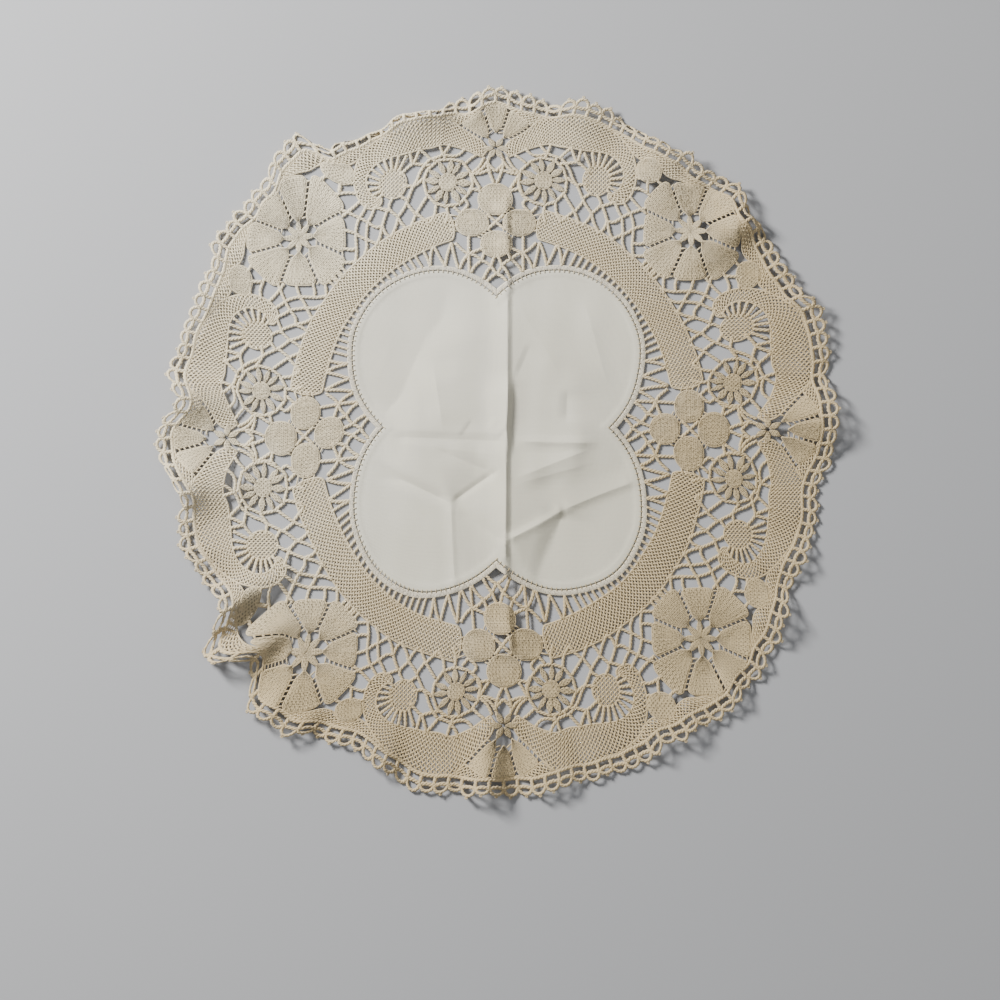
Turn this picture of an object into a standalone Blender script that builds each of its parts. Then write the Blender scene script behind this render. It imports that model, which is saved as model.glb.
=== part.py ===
"""A round bobbin-lace doily with a linen centre, lying loosely on a flat surface.

Two pieces: the four-lobed linen centre, and the lace border that is worked in one piece round it.
The lace is drawn flat first, as the outline of its tapes, petals, wheels and plaits. Both pieces
are then laid: the pattern is drawn a little oval, and folds, ruffles and turned edges lift it.
Sizes are in millimetres until the last step, and the origin is on the surface below the middle.
"""

import math

import bpy
import numpy as np
from mathutils import Vector
from mathutils.geometry import delaunay_2d_cdt

MM = 0.001
THICKNESS = 1.2  # of the linen and of the lace
GAP = 0.3  # between the linen's hem and the lace's footing

# Linen: four round lobes.
LOBE_OFFSET = 29.1  # of each lobe's centre, along x and along y
LOBE_RADIUS = 40.3
FOOTING_WIDTH = 2.3

# Lace, measured from the middle of the doily.
TRAIL_RADIUS = 94.0  # middle of the inner trail
TRAIL_WIDTH = 13.2
TRAIL_START = 11.5  # degrees from the axis, where a small flower parts the trail
LADDER_START = 27.0  # degrees from the axis, where the web gives way to the close ladder
PLAIT = 1.9  # width of a plait
NET_PITCH = 6.0  # of the plaited ground
NET_LEANS = (-5.0, 58.0)  # degrees from the axis, of the ground's two sets of plaits

SMALL_FLOWER = (0.0, 91.5)
SMALL_PETALS = [
    dict(x=-10.9, y=0.0, across=6.4, along=6.1),
    dict(x=10.9, y=0.0, across=6.4, along=6.1),
    dict(x=0.0, y=-9.6, across=6.6, along=6.1),
    dict(x=0.0, y=10.7, across=6.6, along=6.2),
]
WHEEL = (20.9, 110.7)
WHEEL_DISC = 3.8
WHEEL_RING = 12.2
WHEEL_LEAVES = 6  # every other one of the wheel's twelve
LEAF_WIDTH = 2.3
BUD = (45.3, 111.0)
BUD_RADII = (5.8, 6.4)
BIG_FLOWER = (89.6, 89.6)
BIG_PETALS = 8
BIG_PETAL_FROM, BIG_PETAL_TO = 7.2, 23.0
FAN = (0.0, 125.7)
FAN_PETAL_ANGLES = (-31.7, 0.0, 31.7)
FAN_PETAL_FROM, FAN_PETAL_TO = 5.4, 21.3
FILLER = (73.0, 118.6)
FILLER_RADIUS = 5.0

# The outer trail arches over a wheel and hooks round to the bud.
ARCH = [
    dict(x=4.4, y=122.2, width=3.0),
    dict(x=7.4, y=126.2, width=5.7),
    dict(x=13.2, y=131.2, width=9.6),
    dict(x=20.9, y=134.6, width=12.4),
    dict(x=32.6, y=134.2, width=14.2),
    dict(x=43.9, y=129.2, width=14.4),
    dict(x=53.2, y=120.5, width=13.2),
    dict(x=57.7, y=110.9, width=10.9),
    dict(x=53.1, y=104.9, width=8.7),
    dict(x=46.8, y=105.8, width=8.7),
]
# Plaits of the open web, drawn once for half an axis.
PLAITS = [
    dict(x1=0.0, y1=68.7, x2=3.9, y2=72.6),
    dict(x1=0.0, y1=68.7, x2=5.0, y2=64.0),
    dict(x1=3.9, y1=72.6, x2=3.0, y2=77.5),
    dict(x1=3.9, y1=72.6, x2=11.5, y2=78.5),
    dict(x1=3.9, y1=72.6, x2=9.8, y2=66.6),
    dict(x1=11.5, y1=78.5, x2=12.4, y2=68.0),
    dict(x1=11.5, y1=78.5, x2=18.2, y2=70.0),
    dict(x1=11.5, y1=78.5, x2=18.6, y2=86.2),
    dict(x1=11.5, y1=78.5, x2=11.3, y2=86.2),
    dict(x1=11.5, y1=78.5, x2=5.2, y2=82.0),
    dict(x1=17.0, y1=88.5, x2=17.0, y2=99.0),
    dict(x1=0.0, y1=113.6, x2=2.6, y2=107.6),
    dict(x1=0.0, y1=113.6, x2=9.6, y2=107.4),
    dict(x1=0.0, y1=113.6, x2=9.4, y2=115.4),
    dict(x1=0.0, y1=113.6, x2=3.0, y2=121.0),
    dict(x1=4.6, y1=104.5, x2=12.0, y2=102.6),
    dict(x1=58.0, y1=113.0, x2=74.0, y2=104.6),
    dict(x1=60.5, y1=119.0, x2=72.5, y2=107.5),
    dict(x1=66.5, y1=108.0, x2=71.0, y2=117.5),
    dict(x1=74.0, y1=107.0, x2=75.5, y2=116.5),
]
# The zigzag between footing and trail: degrees from the axis of each V's foot and of its two ends.
WEB = [
    dict(foot=17.0, left=14.5, right=19.3),
    dict(foot=21.8, left=19.3, right=24.0),
    dict(foot=26.2, left=24.0, right=28.0),
]
RING_SPOKES = (-62.0, -38.0, -14.0, 10.0, 34.0, 58.0)  # degrees from outward, ring to arch
BUD_SPOKES = (-30.0, 0.0, 30.0, 62.0, 95.0)  # degrees from outward, bud to arch
FLOWER_LEGS = (33.5, 37.2, 40.9, 43.6)  # degrees from the axis, big flower to inner trail
GROUND_EDGE = 108.0  # the ground between wheel and axis ends this far out
FREE_EDGE = 120.5  # the ground ends this far out, along FREE_EDGE_ANGLE
FREE_EDGE_ANGLE = 31.0
FREE_RADIUS = 131.0  # nothing of the open work lies further out than this

# Edging: a narrow toothed band. Radius of its middle, by angle from the axis.
EDGING = [
    dict(angle=0.0, radius=150.2),
    dict(angle=6.0, radius=149.6),
    dict(angle=10.0, radius=148.0),
    dict(angle=20.0, radius=147.4),
    dict(angle=28.0, radius=145.4),
    dict(angle=33.0, radius=147.0),
    dict(angle=38.0, radius=150.0),
    dict(angle=45.0, radius=152.4),
]
# Close work that backs the edging between the fan, the outer trail and the big flower.
RIM_BACKING = [
    dict(start=2.0, end=16.0, inner=139.0, outer=147.5),
    dict(start=15.0, end=30.0, inner=136.5, outer=145.5),
    dict(start=28.0, end=41.0, inner=134.0, outer=147.0),
]
EDGING_WIDTH = 5.2
TOOTH_PITCH = 6.2
TOOTH_HEIGHT = 1.5
HOLE_AREA = 16.0  # smaller gaps than this many square millimetres stay closed

# How the doily lies. SQUEEZE draws the east and west sides in, and SLIPS is how far each side lies
# from its drawn place.
SQUEEZE = 8.2
SLIPS = [
    dict(bearing=0.0, east=-1.5, north=1.0),
    dict(bearing=45.0, east=-1.5, north=0.9),
    dict(bearing=90.0, east=-1.1, north=3.3),
    dict(bearing=135.0, east=2.0, north=2.2),
    dict(bearing=180.0, east=2.0, north=1.0),
    dict(bearing=225.0, east=2.8, north=-3.0),
    dict(bearing=270.0, east=-0.3, north=-0.3),
    dict(bearing=315.0, east=-2.4, north=-1.7),
]
MIDDLE_SLIP = (-0.9, 2.0)  # how far the linen lies from its drawn place
CENTRING = (0.9, 2.2)  # moves the laid doily so that its box is centred
FULL_SQUEEZE = 48.0  # radius from which the squeeze is whole
SLIP_FROM, FULL_SLIP = 40.0, 100.0  # radii between which the slips grow
RIM = 152.0
# How far the rim lies out from its drawn place, by bearing.
REACHES = [
    dict(bearing=0.0, reach=-4.0),
    dict(bearing=6.0, reach=-7.0),
    dict(bearing=14.0, reach=-3.0),
    dict(bearing=22.0, reach=-1.7),
    dict(bearing=30.0, reach=-2.1),
    dict(bearing=40.0, reach=-4.4),
    dict(bearing=50.0, reach=-2.1),
    dict(bearing=60.0, reach=-0.4),
    dict(bearing=72.0, reach=5.2),
    dict(bearing=84.0, reach=1.0),
    dict(bearing=90.0, reach=2.4),
    dict(bearing=99.0, reach=-3.3),
    dict(bearing=107.0, reach=-0.4),
    dict(bearing=114.0, reach=-2.5),
    dict(bearing=120.0, reach=1.5),
    dict(bearing=130.0, reach=0.1),
    dict(bearing=140.0, reach=1.7),
    dict(bearing=148.0, reach=4.5),
    dict(bearing=160.0, reach=3.9),
    dict(bearing=172.0, reach=1.9),
    dict(bearing=184.0, reach=2.3),
    dict(bearing=193.0, reach=5.6),
    dict(bearing=206.0, reach=-0.7),
    dict(bearing=222.0, reach=5.6),
    dict(bearing=225.0, reach=5.7),
    dict(bearing=230.0, reach=-4.3),
    dict(bearing=235.5, reach=11.6),
    dict(bearing=241.0, reach=-2.6),
    dict(bearing=252.0, reach=0.5),
    dict(bearing=261.0, reach=-1.9),
    dict(bearing=270.0, reach=2.8),
    dict(bearing=276.0, reach=-4.5),
    dict(bearing=281.0, reach=-0.2),
    dict(bearing=294.0, reach=-0.3),
    dict(bearing=304.0, reach=1.2),
    dict(bearing=315.0, reach=-3.8),
    dict(bearing=326.0, reach=7.0),
    dict(bearing=330.0, reach=-2.2),
    dict(bearing=336.0, reach=-4.4),
    dict(bearing=345.0, reach=-2.8),
    dict(bearing=353.0, reach=-6.3),
]
REACH_FROM = 112.0  # the lace starts to reach out, or draw in, at this radius
# Ruffles: the rim lifts by height at bearing, from the radius start.
RUFFLES = [
    dict(bearing=16.0, spread=9.0, height=3.0, start=112.0),
    dict(bearing=32.0, spread=11.0, height=6.5, start=120.0),
    dict(bearing=50.0, spread=7.0, height=5.5, start=98.0),
    dict(bearing=69.0, spread=11.0, height=3.0, start=118.0),
    dict(bearing=88.0, spread=7.0, height=6.0, start=112.0),
    dict(bearing=113.0, spread=6.0, height=2.5, start=122.0),
    dict(bearing=122.0, spread=6.0, height=3.5, start=120.0),
    dict(bearing=148.0, spread=8.0, height=3.0, start=122.0),
    dict(bearing=172.0, spread=6.0, height=3.0, start=112.0),
    dict(bearing=183.0, spread=5.0, height=6.5, start=104.0),
    dict(bearing=203.0, spread=6.0, height=3.5, start=120.0),
    dict(bearing=221.0, spread=8.0, height=3.0, start=122.0),
    dict(bearing=233.0, spread=5.0, height=4.5, start=116.0),
    dict(bearing=241.0, spread=5.0, height=6.5, start=98.0),
    dict(bearing=262.0, spread=8.0, height=5.5, start=110.0),
    dict(bearing=277.0, spread=6.0, height=4.0, start=112.0),
    dict(bearing=296.0, spread=12.0, height=3.0, start=122.0),
    dict(bearing=318.0, spread=8.0, height=2.5, start=122.0),
    dict(bearing=345.0, spread=10.0, height=5.5, start=122.0),
]
# Turned edges: the outermost reach of the rim rolls by turn degrees, down and under if negative.
TURNS = [
    dict(bearing=343.0, spread=12.0, turn=-150.0, radius=2.3, reach=6.5),
    dict(bearing=28.0, spread=8.0, turn=-160.0, radius=2.6, reach=8.0),
    dict(bearing=52.0, spread=5.0, turn=-110.0, radius=2.2, reach=5.0),
    dict(bearing=241.0, spread=4.0, turn=-110.0, radius=2.2, reach=5.0),
    dict(bearing=262.0, spread=6.0, turn=-100.0, radius=2.2, reach=5.0),
]
# Creases: ridges of the folded linen. Each runs from (x1, y1) to (x2, y2), and slopes away to its
# left and right over the widths given.
CREASES = [
    dict(x1=5.0, y1=108.0, x2=3.0, y2=-100.0, height=2.6, left=20.0, right=2.6),
    dict(x1=-52.0, y1=0.5, x2=50.0, y2=-2.0, height=0.9, left=9.0, right=5.0),
    dict(x1=-21.0, y1=-30.0, x2=-57.0, y2=-13.0, height=0.9, left=5.0, right=7.0),
    dict(x1=-20.0, y1=-30.0, x2=-19.0, y2=-68.0, height=1.1, left=7.0, right=4.0),
    dict(x1=6.0, y1=-45.0, x2=58.0, y2=-19.0, height=1.2, left=5.0, right=9.0),
    dict(x1=27.0, y1=-31.0, x2=22.0, y2=-66.0, height=0.9, left=4.0, right=8.0),
    dict(x1=-51.0, y1=33.0, x2=-50.0, y2=6.0, height=0.9, left=6.0, right=9.0),
    dict(x1=34.0, y1=59.0, x2=54.0, y2=14.0, height=0.8, left=12.0, right=10.0),
]

INNER_POINTS = 9.5  # spacing of the points inside wide areas of the lace
LINEN_POINTS = 7.5  # and of the linen
CREASE_POINTS = 4.5  # spacing of the points along a crease


# ---- flat shapes -------------------------------------------------------------------------


def polar(radius, degrees, centre=(0.0, 0.0)):
    """The point at this radius and angle, clockwise from +y."""
    angle = math.radians(degrees)
    return centre[0] + radius * math.sin(angle), centre[1] + radius * math.cos(angle)


def arc(centre, radius, start, end, steps):
    return [polar(radius, start + (end - start) * i / steps, centre) for i in range(steps + 1)]


def ellipse(centre, across, along, sides):
    turns = [2 * math.pi * i / sides for i in range(sides)]
    return [(centre[0] + across * math.sin(t), centre[1] + along * math.cos(t)) for t in turns]


def band(line, widths):
    """The outline of a tape along a line, with its width at each point."""
    line = np.array(line, float)
    along = np.gradient(line, axis=0)
    along /= np.linalg.norm(along, axis=1)[:, None]
    side = np.column_stack([-along[:, 1], along[:, 0]]) * np.reshape(widths, (-1, 1)) / 2
    return [tuple(p) for p in np.vstack([line + side, (line - side)[::-1]])]


def plait(start, end, overlap=0.7):
    """A plait between two points, a little longer at both ends so that it joins what it meets."""
    a, b = np.array(start, float), np.array(end, float)
    step = (b - a) / np.linalg.norm(b - a) * overlap
    return band([a - step, b + step], [PLAIT, PLAIT])


def smooth_line(rows, columns, steps):
    """Points on a smooth curve through the rows of a table."""
    p = np.array([[row[c] for c in columns] for row in rows], float)
    p = np.vstack([2 * p[0] - p[1], p, 2 * p[-1] - p[-2]])
    found = []
    for a, b, c, d in zip(p, p[1:], p[2:], p[3:]):
        for t in np.arange(steps) / steps:
            bend = (2 * a - 5 * b + 4 * c - d) * t**2 + (3 * b - a - 3 * c + d) * t**3
            found.append(0.5 * (2 * b + (c - a) * t + bend))
    return np.array(found + [p[-2]])


def footing_radius(degrees):
    """The footing's outer edge, from the middle of the doily, at an angle from the axis."""
    reach = LOBE_OFFSET * math.sqrt(2)
    off = math.radians(45 - degrees)
    outer = LOBE_RADIUS + GAP + FOOTING_WIDTH
    return reach * math.cos(off) + math.sqrt(outer**2 - (reach * math.sin(off)) ** 2)


def edging_radius(degrees):
    """The middle of the edging, at an angle from the axis from 0 to 45."""
    return np.interp(degrees, [r["angle"] for r in EDGING], [r["radius"] for r in EDGING])


ARCH_LINE = smooth_line(ARCH, ("x", "y", "width"), 3)


def free(x, y):
    """Whether a point of the eighth right of the axis lies in the open ground."""
    blocked = np.hypot(x - WHEEL[0], y - WHEEL[1]) < WHEEL_RING
    blocked |= np.hypot(x - BIG_FLOWER[0], y - BIG_FLOWER[1]) < BIG_PETAL_TO - 0.6
    blocked |= np.hypot((x - BUD[0]) / BUD_RADII[0], (y - BUD[1]) / BUD_RADII[1]) < 1
    for petal in SMALL_PETALS:
        across = (x - SMALL_FLOWER[0] - petal["x"]) / petal["across"]
        along = (y - SMALL_FLOWER[1] - petal["y"]) / petal["along"]
        blocked |= np.hypot(across, along) < 1
    for ax, ay, width in smooth_line(ARCH, ("x", "y", "width"), 8):
        blocked |= np.hypot(x - ax, y - ay) < width / 2
    radius, angle = np.hypot(x, y), np.degrees(np.arctan2(x, y))
    out = x * math.sin(math.radians(FREE_EDGE_ANGLE)) + y * math.cos(math.radians(FREE_EDGE_ANGLE))
    within = (radius > TRAIL_RADIUS + TRAIL_WIDTH / 2) & (angle > 6) & (angle < 44.9)
    within &= (radius < FREE_RADIUS) & ((out < FREE_EDGE) | (angle < 25))
    return within & ~blocked


def ground_lines():
    """The plaits of the ground in one eighth, each cut where it meets a tape, petal or ring."""
    lines = []
    steps = np.arange(0, 135, 0.2)
    for lean in NET_LEANS:
        away = math.radians(lean)
        along = np.array([math.sin(away), math.cos(away)])
        across = np.array([along[1], -along[0]])
        for k in range(-22, 23):
            points = across * NET_PITCH * (k + 0.35) + steps[:, None] * along
            clear = free(points[:, 0], points[:, 1])
            clear &= (np.hypot(*points.T) < GROUND_EDGE) | (points[:, 0] > WHEEL[0] + 9)
            ends = np.flatnonzero(np.diff(np.concatenate([[0], clear, [0]])))
            for a, b in zip(ends[::2], ends[1::2]):
                if (b - a) * 0.2 > 2.2:
                    lines.append((points[a], points[b - 1]))
    return lines


def reach_out(centre, start, degrees, furthest=30.0):
    """A line outward from a circle round a centre to the first tape or petal that it meets."""
    for length in np.arange(start + 0.6, furthest, 0.2):
        x, y = polar(length, degrees, centre)
        if not free(np.array([x]), np.array([y]))[0]:
            break
    return polar(start, degrees, centre), (x, y)


def eighth():
    """The lace's shapes in the eighth right of an axis."""
    shapes = []
    for row in PLAITS:
        shapes.append(plait((row["x1"], row["y1"]), (row["x2"], row["y2"])))
    shapes += [plait(a, b) for a, b in ground_lines()]
    outward = math.degrees(math.atan2(*WHEEL))
    for angle in RING_SPOKES:
        shapes.append(plait(*reach_out(WHEEL, WHEEL_RING, outward + angle)))
    outward = math.degrees(math.atan2(*BUD))
    for angle in BUD_SPOKES:
        shapes.append(plait(*reach_out(BUD, BUD_RADII[0], outward + angle)))
    trail_out = TRAIL_RADIUS + TRAIL_WIDTH / 2
    for angle in FLOWER_LEGS:
        shapes.append(plait(polar(trail_out, angle), polar(trail_out + 7, angle)))
    trail_in = TRAIL_RADIUS - TRAIL_WIDTH / 2
    for row in WEB:
        foot = polar(footing_radius(row["foot"]), row["foot"])
        shapes.append(plait(foot, polar(trail_in, row["left"])))
        shapes.append(plait(foot, polar(trail_in, row["right"])))
    ladder = [polar(footing_radius(a) - 1, a) for a in (LADDER_START, 36, 45.1)]
    shapes.append(ladder + arc((0, 0), trail_in + 1, 45.1, LADDER_START, 3))
    shapes.append(band(arc((0, 0), TRAIL_RADIUS, TRAIL_START, 45.1, 6), [TRAIL_WIDTH] * 7))
    shapes.append(band(ARCH_LINE[:, :2], ARCH_LINE[:, 2]))
    for row in RIM_BACKING:
        inner = arc((0, 0), row["inner"], row["start"], row["end"], 3)
        shapes.append(inner + arc((0, 0), row["outer"], row["end"], row["start"], 3))
    shapes.append(ellipse(BUD, *BUD_RADII, 12))
    shapes.append(ellipse(FILLER, FILLER_RADIUS, FILLER_RADIUS, 10))
    shapes.append(ellipse(WHEEL, WHEEL_DISC, WHEEL_DISC, 12))
    ring = WHEEL_RING - PLAIT / 2
    shapes.append(band(arc(WHEEL, ring, 0, 180, 9), [PLAIT] * 10))
    shapes.append(band(arc(WHEEL, ring, 180, 360, 9), [PLAIT] * 10))
    for leaf in range(WHEEL_LEAVES):
        turn = outward + 360 * (leaf + 0.5) / WHEEL_LEAVES
        line = [polar(r, turn, WHEEL) for r in (WHEEL_DISC - 1, WHEEL_RING / 2 + 2, ring)]
        shapes.append(band(line, [1.2, LEAF_WIDTH, 1.2]))
    return shapes


def on_axis():
    """The shapes that stand on an axis: the small flower and the fan."""
    shapes = []
    for petal in SMALL_PETALS:
        centre = (SMALL_FLOWER[0] + petal["x"], SMALL_FLOWER[1] + petal["y"])
        shapes.append(ellipse(centre, petal["across"], petal["along"], 14))
    shapes.append(ellipse(SMALL_FLOWER, 5.4, 5.4, 10))
    tips = arc(FAN, FAN_PETAL_TO, -50, 50, 8)
    shapes.append(tips + arc(FAN, FAN_PETAL_FROM, 50, -50, 4))
    shapes.append(ellipse(FAN, FAN_PETAL_FROM + 0.6, FAN_PETAL_FROM + 0.6, 10))
    return shapes


def on_diagonal():
    """The big flower: a ring of petals, held by leaves that meet in the middle."""
    shapes = [arc(BIG_FLOWER, BIG_PETAL_TO, 0, 360, 28)[:-1]]
    hole = arc(BIG_FLOWER, BIG_PETAL_FROM, 0, 360, 16)[:-1]
    leaves = []
    for leaf in range(BIG_PETALS):
        turn = 360 * leaf / BIG_PETALS
        line = [polar(r, turn, BIG_FLOWER) for r in (0.0, 4.4, BIG_PETAL_FROM + 0.8)]
        leaves.append(band(line, [1.6, 2.2, 1.4]))
    return shapes, hole, leaves


def footing_and_edging():
    """The two closed rings, each as an outer and an inner outline."""
    outer, inner = [], []
    for quarter in range(4):
        for angle in np.arange(0, 90, 6.0):
            radius = footing_radius(min(angle, 90 - angle))
            outer.append(polar(radius, 90 * quarter + angle))
            cut = math.hypot(*outer[-1]) - FOOTING_WIDTH
            inner.append(polar(cut, 90 * quarter + angle))
    rim, root = [], []
    count = 4 * round(2 * math.pi * RIM / TOOTH_PITCH / 4)
    for tooth in range(2 * count):
        bearing = 180 * tooth / count
        from_axis = bearing % 90
        middle = edging_radius(min(from_axis, 90 - from_axis))
        rim.append(polar(middle + EDGING_WIDTH / 2 + TOOTH_HEIGHT * (tooth % 2), bearing))
        if tooth % 4 == 0:
            root.append(polar(middle - EDGING_WIDTH / 2, bearing))
    return outer, inner, rim, root


def turned(points, quarter, flip):
    """Points of the first quarter's pattern, mirrored if flip is -1, in another quarter."""
    p = np.array(points, float) * (flip, 1)
    turn = math.radians(-90 * quarter)
    c, s = math.cos(turn), math.sin(turn)
    p = p @ np.array([[c, s], [-s, c]])
    return [tuple(q) for q in (p if flip > 0 else p[::-1])]


def lace_shapes():
    """(solid outlines, ring outlines): each ring is (outer, inner, what bridges its hole)."""
    solid, rings = [], []
    first_eighth, axis = eighth(), on_axis()
    flower, hole, leaves = on_diagonal()
    for quarter in range(4):
        for flip in (1, -1):
            solid += [turned(shape, quarter, flip) for shape in first_eighth]
        solid += [turned(shape, quarter, 1) for shape in axis + leaves]
        rings.append((turned(flower[0], quarter, 1), turned(hole, quarter, 1)))
    outer, inner, rim, root = footing_and_edging()
    rings += [(outer, inner), (rim, root)]
    return solid, rings


# ---- union and triangles ----------------------------------------------------------------


def area_of(loop):
    x, y = np.array(loop).T
    return 0.5 * np.sum(x * np.roll(y, -1) - y * np.roll(x, -1))


def facing_up(loop):
    return loop if area_of(loop) > 0 else loop[::-1]


def triangulated(loops, extra=()):
    """(points, triangles, for each triangle the loops that hold it)."""
    verts, faces = [], []
    for loop in loops:
        faces.append(list(range(len(verts), len(verts) + len(loop))))
        verts += [Vector(p) for p in facing_up(loop)]
    verts += [Vector(p) for p in extra]
    points, _, triangles, _, _, held_by = delaunay_2d_cdt(verts, [], faces, 0, 1e-5)
    return np.array([tuple(p) for p in points]), np.array(triangles), held_by


def boundary_loops(triangles):
    """Closed chains of the edges that belong to one triangle only."""
    edges = np.vstack([triangles[:, [0, 1]], triangles[:, [1, 2]], triangles[:, [2, 0]]])
    known = {tuple(e) for e in edges.tolist()}
    following = {}
    for a, b in known:
        if (b, a) not in known:
            following.setdefault(a, []).append(b)
    loops = []
    while following:
        start = next(iter(following))
        loop, here = [], start
        while here in following:
            loop.append(here)
            after = following[here].pop()
            if not following[here]:
                del following[here]
            here = after
        loops.append(loop)
    return loops


def simplified(loop, tolerance):
    """The loop without the points that lie within tolerance of the line past them."""
    kept = list(range(len(loop)))
    changed = True
    while changed and len(kept) > 3:
        changed = False
        i = 0
        while i < len(kept) and len(kept) > 3:
            a, b, c = (loop[kept[j % len(kept)]] for j in (i - 1, i, i + 1))
            ac = c - a
            off = abs(ac[0] * (b[1] - a[1]) - ac[1] * (b[0] - a[0])) / (np.hypot(*ac) + 1e-9)
            near = min(np.hypot(*(b - a)), np.hypot(*(c - b))) < 0.6
            if off < (2 * tolerance if near else tolerance):
                del kept[i]
                changed = True
            else:
                i += 1
    return [tuple(loop[k]) for k in kept]


def lace_outlines():
    """The lace's outer outline and those of its gaps, the outer one first."""
    solid, rings = lace_shapes()
    loops = solid + [loop for ring in rings for loop in ring]
    points, triangles, held_by = triangulated(loops)
    first_ring = len(solid)
    keep = []
    for held in held_by:
        held = set(held)
        in_solid = any(index < first_ring for index in held)
        in_ring = any(
            first_ring + 2 * k in held and first_ring + 2 * k + 1 not in held
            for k in range(len(rings))
        )
        keep.append(in_solid or in_ring)
    triangles = triangles[np.array(keep)]
    found = [points[loop] for loop in boundary_loops(triangles)]
    found.sort(key=area_of)
    outer = simplified(found.pop(), 0.15)
    gaps = [simplified(gap, 0.25) for gap in found if -area_of(gap) > HOLE_AREA]
    return [outer] + gaps


def distance_to(loops, points):
    """From each point to the nearest edge of the loops."""
    nearest = np.full(len(points), np.inf)
    for loop in loops:
        a = np.array(loop)
        b = np.roll(a, -1, axis=0)
        for start, end in zip(a, b):
            d = end - start
            t = np.clip((points - start) @ d / (d @ d), 0, 1)
            nearest = np.minimum(nearest, np.hypot(*(points - start - t[:, None] * d).T))
    return nearest


def inside(loops, points):
    """Whether each point is within an odd number of the loops."""
    odd = np.zeros(len(points), bool)
    for loop in loops:
        a = np.array(loop)
        b = np.roll(a, -1, axis=0)
        for (x1, y1), (x2, y2) in zip(a, b):
            crosses = (y1 > points[:, 1]) != (y2 > points[:, 1])
            with np.errstate(divide="ignore", invalid="ignore"):
                at = (x2 - x1) * (points[:, 1] - y1) / (y2 - y1) + x1
            odd ^= crosses & (points[:, 0] < at)
    return odd


def fill_points(loops, spacing, clearance):
    """Points in a triangular grid inside the loops and clear of their edges."""
    reach = np.abs(np.array(loops[0])).max()
    rows = np.arange(-reach, reach, spacing * 0.87)
    columns = np.arange(-reach, reach, spacing)
    grid = np.array([(x + spacing / 2 * (i % 2), y) for i, y in enumerate(rows) for x in columns])
    grid = grid[inside(loops, grid)]
    return grid[distance_to(loops, grid) > clearance]


def crease_points(loops, spacing, clearance):
    """Points along each crease and at the foot of its slopes."""
    found = []
    for crease in CREASES:
        a = np.array([crease["x1"], crease["y1"]])
        b = np.array([crease["x2"], crease["y2"]])
        length = np.hypot(*(b - a))
        along = (b - a) / length
        left = np.array([-along[1], along[0]])
        for s in np.arange(0, length, spacing):
            for off in (0.0, crease["left"], -crease["right"]):
                found.append(a + along * s + left * off)
    found = np.array(found)
    found = found[inside(loops, found)]
    return found[distance_to(loops, found) > clearance]


def inner_points(loops, spacing, clearance):
    """Points inside the loops: along the creases, and a grid in the space between them."""
    ridges = crease_points(loops, CREASE_POINTS, clearance)
    grid = fill_points(loops, spacing, clearance + 1)
    apart = np.array([np.hypot(*(ridges - p).T).min() for p in grid])
    return np.vstack([ridges, grid[apart > 0.55 * spacing]])


# ---- how it lies ------------------------------------------------------------------------


def smooth(t):
    t = np.clip(t, 0, 1)
    return t * t * (3 - 2 * t)


def swell(bearing, row):
    """1 at a row's bearing, falling smoothly to 0 at its spread."""
    gap = np.clip(np.abs((bearing - row["bearing"] + 180) % 360 - 180) / row["spread"], 0, 1)
    return 0.5 + 0.5 * np.cos(np.pi * gap)


def reach(bearing):
    """How far the rim reaches out, blended smoothly between the bearings of REACHES."""
    at = np.array([row["bearing"] for row in REACHES] + [REACHES[0]["bearing"] + 360])
    values = np.array([row["reach"] for row in REACHES] + [REACHES[0]["reach"]])
    index = np.minimum(np.searchsorted(at, bearing, side="right"), len(REACHES)) - 1
    t = smooth((bearing - at[index]) / (at[index + 1] - at[index]))
    return values[index] * (1 - t) + values[index + 1] * t


def slip(bearing, column):
    """A column of SLIPS, blended smoothly between its bearings."""
    step = 360 / len(SLIPS)
    values = np.array([row[column] for row in SLIPS])
    at = (bearing % 360) / step
    index = np.floor(at).astype(int) % len(SLIPS)
    t = smooth(at - np.floor(at))
    return values[index] * (1 - t) + values[(index + 1) % len(SLIPS)] * t


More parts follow.
